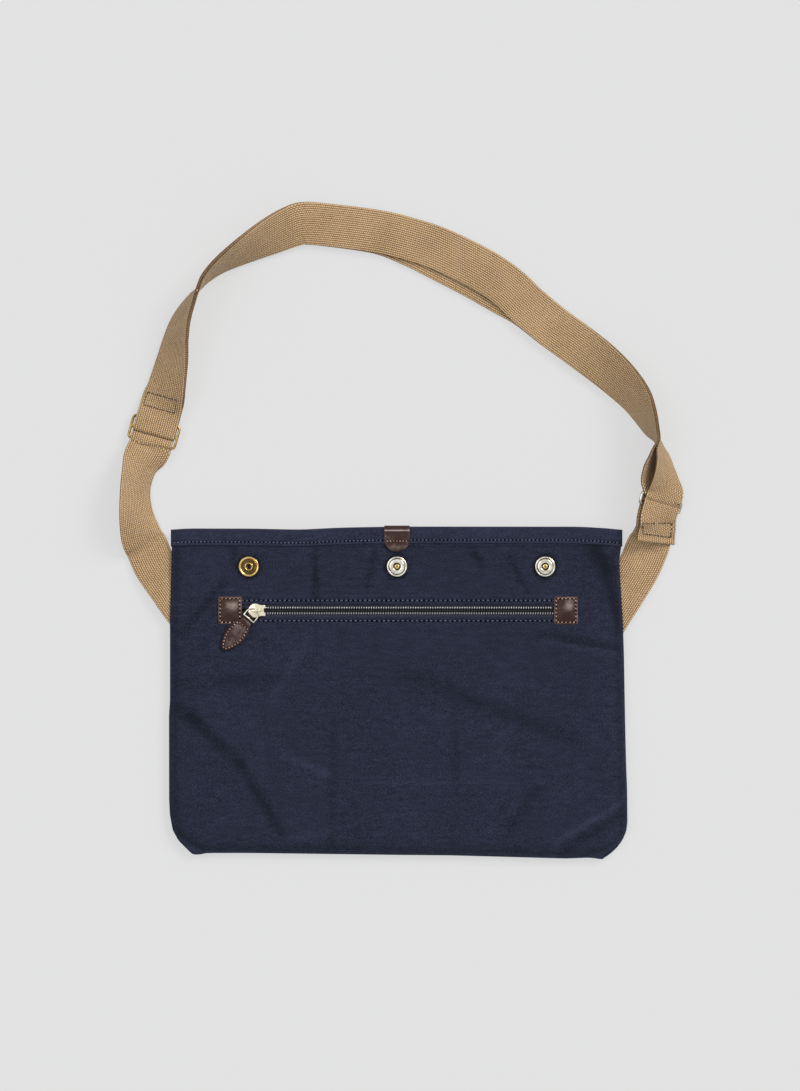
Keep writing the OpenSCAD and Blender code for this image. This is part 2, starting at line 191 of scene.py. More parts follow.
class Finish:
    """A material that is built from nodes, around one Principled shader."""

    def __init__(self, name, **constants):
        self.material = bpy.data.materials.new(name)
        self.material.use_nodes = True
        self.tree = self.material.node_tree
        self.shader = self.tree.nodes["Principled BSDF"]
        for key_name, value in constants.items():
            self.set(key_name.replace("_", " "), value)

    def set(self, slot, value):
        plug(self.tree, self.shader.inputs[slot], value)

    def node(self, kind, output=0, inputs=None, **settings):
        """Adds any node, sets it up and gives one of its outputs."""
        node = self.tree.nodes.new("ShaderNode" + kind)
        for name, value in settings.items():
            setattr(node, name, value)
        for name, value in (inputs or {}).items():
            plug(self.tree, node.inputs[name], value)
        return Wire(self.tree, node.outputs[output])

    def place(self):
        """The point on the object, as three wires in millimetres."""
        point = self.node("TexCoord", "Object")
        split = self.tree.nodes.new("ShaderNodeSeparateXYZ")
        plug(self.tree, split.inputs[0], point)
        return [Wire(self.tree, split.outputs[i]) * 1000 for i in range(3)]

    def along(self):
        """The piece's own layout: distance across and along it, in millimetres."""
        point = self.node("TexCoord", "UV")
        split = self.tree.nodes.new("ShaderNodeSeparateXYZ")
        plug(self.tree, split.inputs[0], point)
        return [Wire(self.tree, split.outputs[i]) * 1000 for i in range(2)]

    def noise(self, scale, detail=3.0, rough=0.5, stretch=(1, 1, 1)):
        """Soft random levels round 0.5, with that many bumps to the metre."""
        point = self.node("TexCoord", "Object")
        sized = self.node("VectorMath", inputs={0: point, 1: stretch}, operation="MULTIPLY")
        return self.node("TexNoise", "Fac", {"Vector": sized, "Scale": scale, "Detail": detail,
                                             "Roughness": rough})

    def level(self, name):
        """A value that the mesh carries at its points."""
        return self.node("Attribute", "Fac", attribute_name=name)

    def mix(self, share, one, two):
        """Colour one where share is 0 and two where it is 1."""
        node = self.tree.nodes.new("ShaderNodeMix")
        node.data_type = "RGBA"
        for slot, value in ((0, share), (6, one), (7, two)):
            plug(self.tree, node.inputs[slot], value)
        return Wire(self.tree, node.outputs[2])

    def relief(self, height, depth, normal=None):
        """Bends the surface normal over a height that varies from 0 to 1, depth metres deep."""
        inputs = {"Height": height, "Strength": 1.0, "Distance": depth}
        if normal is not None:
            inputs["Normal"] = normal
        return self.node("Bump", "Normal", inputs)


# %% [markdown]
# ## Mesh tools
# Cloth is a grid of points, and a rolled edge, a wire or a webbing is a ring of points carried along
# a path. Both are plain arrays. A stitch is one small pill shape, copied to each of its places.

# %% Mesh tools


def make(name, points, faces, finishes=(), layout=None, levels=None, smooth=True):
    """A mesh object from an array of points in metres and a list or array of faces."""
    mesh = bpy.data.meshes.new(name)
    points = np.asarray(points, float).reshape(-1, 3)
    mesh.from_pydata(points.tolist(), [], faces.tolist() if isinstance(faces, np.ndarray) else faces)
    mesh.polygons.foreach_set("use_smooth", np.full(len(mesh.polygons), smooth))
    if layout is not None:
        corner = np.empty(len(mesh.loops), int)
        mesh.loops.foreach_get("vertex_index", corner)
        flat = np.asarray(layout, float).reshape(-1, 2)[corner]
        mesh.uv_layers.new(name="layout").data.foreach_set("uv", flat.ravel())
    for key_name, values in (levels or {}).items():
        field = mesh.attributes.new(key_name, "FLOAT", "POINT")
        field.data.foreach_set("value", np.asarray(values, float).ravel())
    for finish in finishes:
        mesh.materials.append(finish.material)
    mesh.validate()
    mesh.update()
    thing = bpy.data.objects.new(name, mesh)
    bpy.context.scene.collection.objects.link(thing)
    print(name, len(mesh.vertices), "points", len(mesh.polygons), "faces")
    return thing


def grid_faces(rows, columns, closed=False):
    """Four-sided faces of a grid of points. closed joins the last column to the first."""
    row, column = np.meshgrid(np.arange(rows - 1), np.arange(columns if closed else columns - 1),
                              indexing="ij")
    after = (column + 1) % columns
    return np.stack([row * columns + column, row * columns + after, (row + 1) * columns + after,
                     (row + 1) * columns + column], -1).reshape(-1, 4)


def tube_faces(rows, columns):
    """Faces of a closed tube with flat caps at both ends."""
    sides = grid_faces(rows, columns, True).tolist()
    return sides + [list(range(columns))[::-1], [(rows - 1) * columns + i for i in range(columns)]]


def step(value, low, high):
    """0 below low, 1 above high, and 3t^2 - 2t^3 between."""
    t = np.clip((np.asarray(value, float) - low) / (high - low), 0, 1)
    return t * t * (3 - 2 * t)


def bell(value, width):
    """1 at 0, falling on both sides as the natural exponent of minus the square."""
    return np.exp(-(np.asarray(value, float) / width) ** 2)


def fit(pieces, body, slot, *nodes):
    """Says which body the pieces ride and which nodes they stand for, and hides those nodes. slot is not
    used.
    """
    for piece in pieces if isinstance(pieces, (list, tuple)) else [pieces]:
        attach(piece, body)
        if nodes:
            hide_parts(*nodes)


def each(direction, count):
    """The same direction for every one of count stitches."""
    return np.tile(np.array(direction, float), (count, 1))


UP, DOWN = (0, 0, 1), (0, 0, -1)


def solid(thing, thickness, offset=-1):
    """Gives a sheet its thickness, inward from the face that was drawn."""
    layer = thing.modifiers.new("thickness", "SOLIDIFY")
    layer.thickness = thickness
    layer.offset = offset
    layer.use_even_offset = False
    return thing

# %% [markdown]
# ## Finishes
# Canvas is a plain weave of thick cotton threads that fades and picks up pale lint; painted light and
# shade lie along its edges and creases. The webbing is a heavier weave with ribs along its length. The
# leather is waxed and has a fine grain, with wear and a painted highlight where it bulges. The metals
# differ by plating: brass, nickel and a pale gold slider, with painted shade in their hollows.

# %% Finishes


def weave(across, along, pitch):
    """Height of a plain weave from 0 to 1: each thread is a half sine, and they pass over by turns."""
    one = abs((across * (math.pi / pitch)).sin())
    other = abs((along * (math.pi / pitch)).sin())
    turn = ((across * (math.pi / pitch)).sin() * (along * (math.pi / pitch)).sin()) > 0
    return one * turn + other * (1 - turn)


def canvas_finish(name, base, pale, has_painted_light=True):
    """Dyed cotton canvas with faded high spots, lint and a plain weave. The mesh may carry painted
    light: painted highlights on edges and ridges, and painted shade in creases and round the snaps."""
    f = Finish(name, Roughness=0.95, Specular_IOR_Level=0.12, Sheen_Weight=0.04, Sheen_Roughness=0.5)
    x, y, _ = f.place()
    threads = weave(x, y, 0.95)
    cloudy = f.noise(16, 4, 0.6)
    streak = f.noise(300, 3, 0.6, (0.3, 1, 1))
    speck = f.noise(1000, 2, 0.7)
    fade = (cloudy - 0.5) * 0.2 + (streak - 0.5) * 0.45 + (speck - 0.5) * 1.5 + (threads - 0.55) * 0.5
    # The mesh's level adds painted highlight and painted shade to the canvas colour.
    share = (fade + f.level("painted_light") + 0.32).ramp(0.0, 1.0) if has_painted_light else (fade + 0.3).ramp(0, 1)
    f.set("Base Color", f.mix(share, base, pale))
    lumpy = f.relief(f.noise(260, 3, 0.6), 0.00035)
    f.set("Normal", f.relief(threads, 0.00022, lumpy))
    return f


canvas = canvas_finish("canvas_navy", paint(20, 23, 35), paint(58, 62, 84))
lining = canvas_finish("pocket_cotton", paint(30, 31, 36), paint(58, 60, 68), False)


def webbing_finish():
    """Undyed cotton webbing: ribs along it, picks across it, with the thread crowns paler as painted
    highlight and painted shade between the threads.
    """
    f = Finish("webbing_khaki", Roughness=0.85, Specular_IOR_Level=0.25, Sheen_Weight=0.15,
               Sheen_Roughness=0.5)
    across, along = f.along()
    ribs = abs((across * (math.pi / 1.9)).sin())
    odd = (across * (math.pi / 1.9)).sin() > 0
    picks = ((along + odd * 0.9) * (2 * math.pi / 1.8)).sin() * 0.5 + 0.5
    threads = ribs.math("POWER", ribs, 0.6) * (0.45 + 0.55 * picks)
    cloudy = f.noise(22, 4, 0.6)
    speck = f.noise(700, 3, 0.7)
    # The weave's height drives the colour: the paler crowns are painted highlight and the darker gaps are
    # painted shade.
    share = (threads * 1.15 + (cloudy - 0.5) * 0.4 + (speck - 0.5) * 0.7 - 0.05).ramp(0.0, 1.0)
    f.set("Base Color", f.mix(share, paint(88, 60, 34), paint(208, 175, 132)))
    f.set("Normal", f.relief(threads, 0.0006))
    return f


webbing = webbing_finish()


def leather_finish(name, base, pale, edge):
    """Waxed leather: cell-like grain, pale where the mesh marks wear and a painted sheen on the high parts,
    and a raw pale edge.
    """
    f = Finish(name, Specular_IOR_Level=0.22, Coat_Weight=0.14, Coat_Roughness=0.2)
    cells = f.node("TexVoronoi", "Distance", {"Scale": 1500.0})
    broad = f.noise(90, 4, 0.6)
    speck = f.noise(1200, 2, 0.5)
    # The mesh's level mixes wear with a painted sheen: the pale colour stands in for highlights on the high
    # parts.
    share = ((broad - 0.5) * 1.1 + (speck - 0.5) * 0.5 + f.level("wear_and_painted_sheen")).ramp(0.02, 1.05)
    f.set("Base Color", f.mix(f.level("edge"), f.mix(share, base, pale), edge))
    f.set("Roughness", 0.5 - share * 0.12)
    f.set("Normal", f.relief(cells, 0.00012, f.relief(broad, 0.0004)))
    return f


leather = leather_finish("leather_brown", paint(50, 25, 18), paint(176, 158, 150), paint(112, 78, 60))


def thread_finish(name, tone, pale):
    """Twisted sewing thread."""
    f = Finish(name, Roughness=0.6, Sheen_Weight=0.2)
    f.set("Base Color", f.mix(f.noise(500, 2).ramp(0.3, 0.7), tone, pale))
    return f


thread_navy = thread_finish("thread_navy", paint(54, 61, 86), paint(98, 107, 136))
thread_tan = thread_finish("thread_tan", paint(132, 98, 82), paint(214, 184, 166))
thread_olive = thread_finish("thread_olive", paint(40, 22, 10), paint(74, 48, 26))
# Needle holes are drawn as flat near-black dots: painted shade of the holes.
painted_hole_shade = Finish("painted_hole_shade", Roughness=1.0, Specular_IOR_Level=0.0)
painted_hole_shade.set("Base Color", paint(12, 12, 18))


# Dark brown painted into the hollows of the metal parts as their shade.
HOLLOW_SHADE = paint(44, 28, 14)


def metal_finish(name, bright, dull, rough):
    """Plated metal with soft tarnish and fine scratches, darkened in its grooves as painted shade."""
    f = Finish(name, Metallic=1.0)
    tarnish = f.noise(160, 4, 0.6).ramp(0.35, 0.7)
    hair = f.noise(900, 3, 0.6, (1, 0.15, 1))
    f.set("Base Color", f.mix(f.level("deep").ramp(0.15, 1.0) * 0.85, f.mix(tarnish, bright, dull), HOLLOW_SHADE))
    f.set("Roughness", rough + tarnish * 0.1 + hair * 0.08)
    f.set("Normal", f.relief(hair, 0.00003))
    return f


brass = metal_finish("snap_brass", paint(238, 208, 142), paint(184, 146, 84), 0.16)
nickel = metal_finish("snap_nickel", paint(246, 243, 230), paint(196, 186, 166), 0.14)
pale_gold = metal_finish("zip_champagne", paint(252, 244, 222), paint(222, 206, 170), 0.2)
ring_nickel = metal_finish("ring_steel", paint(218, 214, 204), paint(150, 142, 128), 0.22)
glide_brass = metal_finish("glide_brass", paint(206, 172, 104), paint(140, 108, 58), 0.25)


def tape_finish():
    """Zip tape: a fine herringbone twill, its slant turning every few millimetres."""
    f = Finish("zip_tape", Roughness=0.8, Sheen_Weight=0.1)
    x, y, _ = f.place()
    rib = abs((y * (math.pi / 2.6)).sin())
    twill = ((x + rib * 2.0) * (2 * math.pi / 0.9)).sin() * 0.5 + 0.5
    speck = f.noise(800, 2, 0.6)
    f.set("Base Color", f.mix((twill * 0.5 + speck * 0.5).ramp(0.2, 0.9), paint(20, 23, 34),
                              paint(44, 49, 68)))
    f.set("Normal", f.relief(twill, 0.0001))
    return f


def coil_finish():
    """Nylon coil: dark, with a painted white highlight, partly metallic, on the crown of every turn."""
    f = Finish("zip_coil", Specular_IOR_Level=0.25)
    bright = f.level("bright")
    f.set("Base Color", f.mix(bright, paint(12, 13, 20), paint(250, 250, 250)))
    f.set("Metallic", bright * 0.85)
    f.set("Roughness", 0.42 - bright * 0.18)
    return f


tape = tape_finish()
coil = coil_finish()
print("finishes made")

# %% [markdown]
# ## Stitches
# Lockstitch shows as a row of short plump threads that dive into holes at each end. One pill shape is
# copied along each row, turned to lie along it and on the surface. A small shake keeps the rows human.

# %% Stitches

shake = np.random.default_rng(7)


def pill(length, width, height):
    """Points of one stitch: rings of radius sqrt(sin) along it, so that both ends round off."""
    along = np.linspace(0.02, 0.98, 7)
    radius = np.sin(math.pi * along) ** 0.45
    turn = np.linspace(0, 2 * math.pi, 6, endpoint=False)
    x = np.repeat((along - 0.5) * length, 6)
    y = np.outer(radius, np.cos(turn)).ravel() * width / 2
    z = np.outer(radius, np.sin(turn)).ravel() * height / 2
    return np.stack([x, y, z], 1)


def stitches(name, places, runs, ups, length, width, finish):
    """One mesh of stitches. Each has a middle, the way it runs and the way up, all in millimetres."""
    places, runs, ups = (np.asarray(a, float) for a in (places, runs, ups))
    runs = runs / np.linalg.norm(runs, axis=1, keepdims=True)
    sides = np.cross(ups, runs)
    sides /= np.linalg.norm(sides, axis=1, keepdims=True)
    tops = np.cross(runs, sides)
    shape = pill(length, width, width * 0.8)
    count = len(places)
    size = 1 + shake.uniform(-0.07, 0.07, (count, 1, 1))
    slew = shake.uniform(-0.06, 0.06, (count, 1))
    runs = runs + slew * sides
    points = places[:, None] + size * (shape[None, :, :1] * runs[:, None] + shape[None, :, 1:2]
                                       * sides[:, None] + shape[None, :, 2:] * tops[:, None])
    one = np.array(tube_quads(7, 6))
    faces = (one[None] + (np.arange(count) * len(shape))[:, None, None]).reshape(-1, 4)
    return make(name, points.reshape(-1, 3) * MM, faces, [finish])


def tube_quads(rows, columns):
    """Faces of a tube of six sides whose ends are closed by two four-sided faces each."""
    sides = grid_faces(rows, columns, True).tolist()
    last = (rows - 1) * columns
    return sides + [[3, 2, 1, 0], [5, 4, 3, 0], [last, last + 1, last + 2, last + 3],
                    [last, last + 3, last + 4, last + 5]]


def holes(name, places, runs, ups, size):
    """Needle holes: flat dark dots of painted shade that lie between the stitches of a row."""
    return stitches(name, places, runs, ups, size, size * 0.85, painted_hole_shade)


def row(start, end, pitch):
    """Middles and directions of stitches that fill a straight line evenly."""
    start, end = np.array(start, float), np.array(end, float)
    gap = np.linalg.norm(end - start)
    count = max(1, round(gap / pitch))
    t = (np.arange(count) + 0.5) / count
    return start + t[:, None] * (end - start), np.repeat([(end - start) / gap], count, 0)


# %% [markdown]
# ## The bag's shape
# The bag is two canvas panels that are sewn together on three sides. Its outline is drawn by a few
# measured widths and a smooth curve through them. `front_z` says how the front lies: it climbs quickly
# from the seam, then slowly, and has soft rolls and creases where the cloth doesn't lie quite flat.
# From here on, places are in millimetres until they are made into a mesh.

# %% Shape of the bag
SEAM_Z = 4.7
TOP_Z = 10.8
ZIP_Y = 73.0
HEM_Y = 130.5

LEFT = np.array([(-143.4, -180.8), (-142.5, -183.4), (-137.5, -188.4), (-131.6, -194.3), (-122.3, -199.4),
                 (-108.8, -201.9), (-95, -202.6), (-20, -202.7), (-7, -201.8), (60, -201.8),
                 (110, -200.6), (145, -200)])
RIGHT = np.array([(-148.4, 182.1), (-143.9, 188.9), (-138.6, 194.9), (-131.8, 200.1), (-123.6, 203.8),
                  (-115.4, 204.9), (-87, 204.6), (-60, 203.6), (-20, 202.7), (33, 201.8),
                  (60, 200.9), (109, 197.9), (118, 197.7), (130, 199.3), (145, 199.5)])
BOTTOM = np.array([(-181, -143.4), (-165, -142.7), (-130, -142.7), (-60, -143.6), (0, -144.4), (47, -144.8),
                   (92, -146), (150, -147.6), (172, -146.8), (182, -148.4)])
MOUTH = np.array([(-200, 144.2), (-190, 145.4), (-130, 145.3), (-86, 144.4), (-50, 146.2), (0, 147.1),
                  (163, 147.0), (191, 145.3), (200, 144)])


def curve(table, at, soft=5.0):
    """A smooth reading of a table: the straight reading, averaged over a few millimetres."""
    near = np.asarray(at, float)[..., None] + np.linspace(-1, 1, 9) * soft
    return np.interp(near, table[:, 0], table[:, 1]).mean(-1)


def outline_x(y, side):
    """Where the left (-1) or right (1) outline is at height y."""
    return curve(LEFT if side < 0 else RIGHT, y, 1.5)


def mouth_shift(x):
    """How far the mouth's edge wanders up from its straight line."""
    return curve(MOUTH, x, 9.0) - 145.0


def from_edge(x, y):
    """Distance inward from the three sewn sides, with round corners at the bottom."""
    corner = 24.0
    side_gap = np.minimum(x - outline_x(y, -1), outline_x(y, 1) - x)
    low_gap = y - curve(BOTTOM, x, 4.0)
    a, b = corner - side_gap, corner - low_gap
    deep = np.hypot(np.maximum(a, 0), np.maximum(b, 0)) + np.minimum(np.maximum(a, b), 0)
    return np.maximum(corner - deep, 0)


# Soft creases: from x, y to x, y, half width, depth, and how much painted shade (-) or painted light (+)
# lies along them.
FOLDS = [(-73, 126, -72, 85, 2.6, 0.7, -0.3), (-144, 132, -145, 112, 3.6, 0.6, -0.2),
         (-21, 124, -28, 84, 3.2, 0.6, -0.16), (64, 130, 75, 114, 2.8, 0.7, -0.24),
         (99, 121, 115, 90, 2.8, 0.6, -0.22), (172, 134, 186, 108, 7, 1.6, -0.4),
         (186, 108, 196, 62, 4.5, 1.1, -0.3), (126, 52, 198, 39, 3.2, 0.7, -0.26),
         (128, 46, 199, 34, 2.2, -0.4, 0.16), (4, 17, 158, -42, 7, 1.0, -0.2),
         (-190, -14, -178, -26, 7, 0.7, -0.3), (-182, -22, -139, -64, 5, 0.9, -0.26),
         (-139, -64, -104, -124, 4.5, 0.8, -0.26), (-57, -24, -58, -136, 3.4, 0.5, -0.12),
         (52, -34, 53, -82, 3.2, 0.5, -0.14), (-42, -79, 131, -80, 1.8, -0.3, 0.12),
         (-100, -56, -59, -74, 3.4, -0.3, 0.22), (140, -134, 199, -98, 2.6, -0.6, 0.24),
         (150, -138, 200, -108, 4.5, 0.6, -0.2), (-190, 54, -155, 97, 4.5, 0.6, -0.2),
         (-190, 7, -106, 13, 6, 0.5, -0.16), (-112, -8, -80, 45, 4.5, -0.4, 0.12),
         (-104, -134, -60, -122, 5, -0.3, 0.12), (96, -128, 124, -84, 5, 0.4, -0.14)]
DEPTH, PAINTED_TONE = 5, 6


def folds(x, y, column):
    """Sum over the creases of a bell of the distance to each, fuller at its middle. column picks the
    depth or the painted shade and light."""
    total = np.zeros(np.broadcast(x, y).shape)
    for fold in FOLDS:
        ax, ay, bx, by, width = fold[:5]
        dx, dy = bx - ax, by - ay
        share = np.clip(((x - ax) * dx + (y - ay) * dy) / (dx ** 2 + dy ** 2), 0, 1)
        gone = np.hypot(x - ax - share * dx, y - ay - share * dy)
        fullness = 0.45 + 0.55 * np.sin(math.pi * np.clip(share, 0.15, 0.85))
        total = total + fold[column] * bell(gone, width) * fullness
    return total


def rolls(x, y):
    """Soft undulation in millimetres: long sine waves, weaker round the zip and the snaps."""
    calm = 0.22 + 0.78 * step(-y, -50, 10)
    wave = (0.55 * np.sin(x / 47 + 0.8 * np.sin(y / 61)) + 0.5 * np.sin(y / 38 + x / 90)
            + 0.35 * np.sin((x + 1.4 * y) / 33 + 1.2) + 0.2 * np.sin((x - y) / 17))
    return wave * calm * step(from_edge(x, y), 2, 30)


def strap_room(y):
    """1 where a webbing end passes between the two panels at the side, and 0 elsewhere."""
    return step(y, 48, 60) * (1 - step(y, 116, 126))


def front_z(x, y):
    """Height of the front's outer face."""
    inward = np.clip(from_edge(x, y) / 25, 0, 1)
    low = SEAM_Z + 1.2 + 0.9 * strap_room(y)
    climb = low + (TOP_Z - low) * (1 - (1 - inward) ** 2.6)
    return climb + rolls(x, y) - folds(x, y, DEPTH) * inward * 0.7


def back_z(x, y):
    """Height of the back's outer face, which lies on the table."""
    inward = np.clip(from_edge(x, y) / 10, 0, 1)
    return (SEAM_Z - 1.2 - 0.9 * strap_room(y)) * (1 - inward) ** 2.2


FOOT = -148.4
LEVEL = -60.0


def settle(row_y, low):
    """Moves a row's height so that the lowest row lands on the bottom edge and rows above -60 stay."""
    share = (row_y - FOOT) / (LEVEL - FOOT)
    return np.where(row_y < LEVEL, low + share * (LEVEL - low), row_y)


def shell_rows(top, finer):
    """Heights of the rows of a panel: even steps, and finer ones where they are asked for."""
    rows = [FOOT + 30 * np.linspace(0, 1, 22) ** 1.5, np.linspace(-116, top, 92), *finer]
    return np.unique(np.round(np.concatenate(rows), 3))


def shell_grid(rows, columns=181):
    """Points of a panel: every row runs from the left outline to the right one."""
    share = np.linspace(-1, 1, columns)
    share = np.sign(share) * np.abs(share) ** 0.82
    left = outline_x(settle(rows, LEFT[0, 0]), -1)[:, None]
    right = outline_x(settle(rows, RIGHT[0, 0]), 1)[:, None]
    x = left + (right - left) * (share[None] + 1) / 2
    return x, settle(np.repeat(rows[:, None], columns, 1), curve(BOTTOM, x, 4.0))


print("outline", round(float(outline_x(0, -1)), 1), round(float(outline_x(0, 1)), 1))

# %% [markdown]
# ## Canvas panels
# The front panel has the zip's slot, whose edges are turned under and stitched to the tapes. Above and
# below the slot the hidden tapes lift the cloth a little, and each stitch row pulls a shallow groove.
# The back panel is plain. A turned seam allowance fills the gap between the two along three sides.

# %% Canvas panels
CANVAS_T = 1.2
SLOT = (-149.0, 151.0)
ZIP_ROW, SLOT_HALF = 9, 5
SNAP_X = (-131.5, 0.0, 131.5)
SNAP_Y = 112.0


def front_face(x, y):
    """The front's outer face with the marks of the zip, the snaps and the hem pressed into it."""
    off = np.abs(y - ZIP_Y)
    inside = step(x, -168, -160) * (1 - step(x, 162, 170))
    z = front_z(x, y)
    z = z + 0.35 * (1 - step(off, 12.4, 13.8)) * inside
    z = z - 0.3 * bell(off - ZIP_ROW, 0.8) * inside
    z = z - 0.7 * bell(off - SLOT_HALF, 0.7) * inside
    for snap in SNAP_X:
        ring = np.hypot(x - snap, y - SNAP_Y)
        z = z - 0.5 * bell(ring - 9.5, 2.2)
    return z - 0.5 * bell(y - HEM_Y, 1.6)


def panel(name, rows, height, finish, slot=None, flip=False):
    """A canvas panel over the outline, with its outer face at height(x, y)."""
    x, y = shell_grid(rows)
    z = height(x, y)
    y = y + mouth_shift(x) * step(y, 84, 140)
    faces = grid_faces(*x.shape)
    if flip:
        faces = faces[:, ::-1]
    if slot is not None:
        middle_x = x.ravel()[faces].mean(1)
        middle_y = y.ravel()[faces].mean(1)
        open_part = (np.abs(middle_y - ZIP_Y) < SLOT_HALF) & (middle_x > slot[0]) & (middle_x < slot[1])
        faces = faces[~open_part]
    edge = from_edge(x, y)
    off = np.abs(y - ZIP_Y)
    # Light and shade painted into the canvas colour: paler at the seam edge, at the slot edges and over the
    # tapes' edges as painted highlight, darker a few millimetres in from the seam, and on the front painted
    # shade and light along the creases, a painted shadow under the hem's edge and a painted shadow ring
    # round each snap.
    painted_light = 0.10 * bell(edge, 1.6) + 0.10 * bell(off - SLOT_HALF, 0.8) - 0.12 * bell(edge - 5, 3)
    painted_light = painted_light + 0.05 * bell(off - 13.2, 1.2)
    if slot is not None:
        painted_light = painted_light + folds(x, y, PAINTED_TONE) - 0.18 * bell(y - 129.9, 0.8)
        for snap in SNAP_X:
            painted_light = painted_light - 0.45 * bell(np.hypot(x - snap, y - SNAP_Y) - 10.0, 1.1)
    thing = make(name, np.stack([x, y, z], -1) * MM, faces, [finish], levels={"painted_light": painted_light})
    return solid(thing, CANVAS_T * MM)


slot_edges = np.array([ZIP_Y - SLOT_HALF, ZIP_Y + SLOT_HALF])
fine = [np.arange(57, 90, 0.5), slot_edges, np.arange(126, 131.6, 0.5)]
front = panel("front_canvas", shell_rows(131.5, fine), front_face, canvas, SLOT)
back = panel("back_canvas", shell_rows(131.5, []), back_z, canvas, flip=True)

print("panels made")

# %% [markdown]
# ## Seam roll
# Where the two panels meet, the seam allowances are turned in and show as a narrow dark roll.

# %% Seam roll


def ring_points(centre, one, other, sides):
    """Points round a path: its middle plus one * cos and other * sin of a full turn."""
    turn = np.linspace(0, 2 * math.pi, sides, endpoint=False)[None, :, None]
    return centre[:, None] + np.cos(turn) * one[:, None] + np.sin(turn) * other[:, None]


def carry(path, radius_a, radius_b, sides=8):
    """A tube round a path that keeps Z as one of its two cross directions."""
    path = np.asarray(path, float)
    run = np.gradient(path, axis=0)
    run /= np.linalg.norm(run, axis=1, keepdims=True)
    out = np.stack([run[:, 1], -run[:, 0], np.zeros(len(path))], 1)
    out /= np.linalg.norm(out, axis=1, keepdims=True)
    up = np.cross(out, run)
    return ring_points(path, radius_a * out, radius_b * up, sides).reshape(-1, 3), len(path)


def seam_path(inset):
    """The outline from the left mouth corner, round the bottom, to the right mouth corner."""
    high = np.linspace(131, -118, 126)
    low = np.linspace(-118.5, -145.5, 24)
    left = [(outline_x(y, -1) + inset, y) for y in np.concatenate([high, low])]
    right = [(outline_x(y, 1) - inset, y) for y in np.concatenate([low[::-1], high[::-1]])]
    middle_x = np.linspace(left[-1][0] + 3, right[0][0] - 3, 150)
    middle = [(x, float(curve(BOTTOM, x, 4.0)) + inset) for x in middle_x]
    flat = np.array(left + middle + right)
    even = np.ones(7) / 7
    smoothed = np.stack([np.convolve(np.pad(flat[:, i], 3, "edge"), even, "valid") for i in (0, 1)], 1)
    return np.concatenate([smoothed, np.full((len(flat), 1), SEAM_Z)], 1)


points, count = carry(seam_path(2.2), 1.7, 1.5)
seam = make("seam_roll", points * MM, tube_faces(count, 8), [canvas])
fit(front, "bag", "canvas", "front_panel")
fit(back, "bag", "canvas", "back_panel")
fit(seam, "bag", "canvas", "seam_binding")

# %% [markdown]
# ## Hems
# The mouth is finished with a strip of canvas, folded double and held by one stitch row near its lower
# edge. The fold rolls over at the top. The same strip runs along the back.

# %% Hems
HEM_ROW_Y, HEM_LOW_Y = 133.5, 133.0
HEM_STITCH, ZIP_STITCH = 3.4, 4.2
HEM = np.array([(131.2, 9.5), (130.5, 9.9), (130.3, 10.6), (130.6, 11.2), (131.4, 11.45), (132.4, 11.4),
                (133.0, 11.15), (133.5, 10.95), (134.0, 11.15), (134.8, 11.45), (136.5, 11.6),
                (139, 11.55), (141, 11.4), (142.2, 11.2), (142.9, 11.15), (143.6, 11.35), (144.5, 11.4),
                (145.1, 11.0), (145.4, 10.4), (145.1, 9.8), (144.3, 9.4), (140, 9.3), (135, 9.3)])


def hem(name, side, node):
    """The hem strip, swept from side to side. side is 1 for the front and -1 for the back."""
    x = np.linspace(-1, 1, 241)
    x = (outline_x(138, -1) - 0.9) + (outline_x(138, 1) - outline_x(138, -1) + 1.8) * (x + 1) / 2
    y = HEM[:, 0][None] + mouth_shift(x)[:, None]
    if side > 0:
        sink = front_z(x, np.full_like(x, HEM_LOW_Y)) - TOP_Z
        z = HEM[:, 1][None] + sink[:, None]
    else:
        z = (11.6 - HEM[:, 1])[None] + back_z(x, np.full_like(x, HEM_LOW_Y))[:, None]
    points = np.stack([np.repeat(x[:, None], len(HEM), 1), y, z], -1).reshape(-1, 3)
    faces = tube_faces(len(x), len(HEM))
    if side > 0:
        faces = [f[::-1] for f in faces]
    at_fold = (HEM[:, 0] > 143.3) | (HEM[:, 0] < 131.6)
    # Light and shade painted into the hem's colour: paler rows on the rolled fold as painted highlight, a
    # darker row in the stitch groove as painted shade, and slightly paler elsewhere.
    edges = np.where(at_fold, 0.18, np.where(np.abs(HEM[:, 0] - HEM_ROW_Y) < 0.4, -0.12, 0.1))
    piece = make(name, points * MM, faces, [canvas], levels={"painted_light": np.tile(edges, len(x))})
    fit(piece, "bag", "canvas", node)


hem("front_hem_strip", 1, "front_hem")
hem("back_hem_strip", -1, "back_hem")

middles, ways = row((-199.5, HEM_ROW_Y, 0), (197.5, HEM_ROW_Y, 0), HEM_STITCH)
middles[:, 1] += mouth_shift(middles[:, 0])
middles[:, 2] = front_z(middles[:, 0], np.full(len(middles), HEM_LOW_Y)) - TOP_Z + 11.08
ways[:, 2] = np.gradient(middles[:, 2], middles[:, 0])
upward = each(UP, len(ways))
hem_stitches = stitches("hem_stitches", middles, ways, upward, 2.1, 0.85, thread_navy)
hem_holes = holes("hem_holes", middles + [1.7, -0.1, 0.16], ways, upward, 1.9)
low = middles.copy()
low[:, 2] = back_z(low[:, 0], np.full(len(low), HEM_LOW_Y)) + 0.5
back_stitches = stitches("back_hem_stitches", low, ways * [1, 1, 0], each(DOWN, len(ways)), 3.0, 0.75,
                         thread_navy)

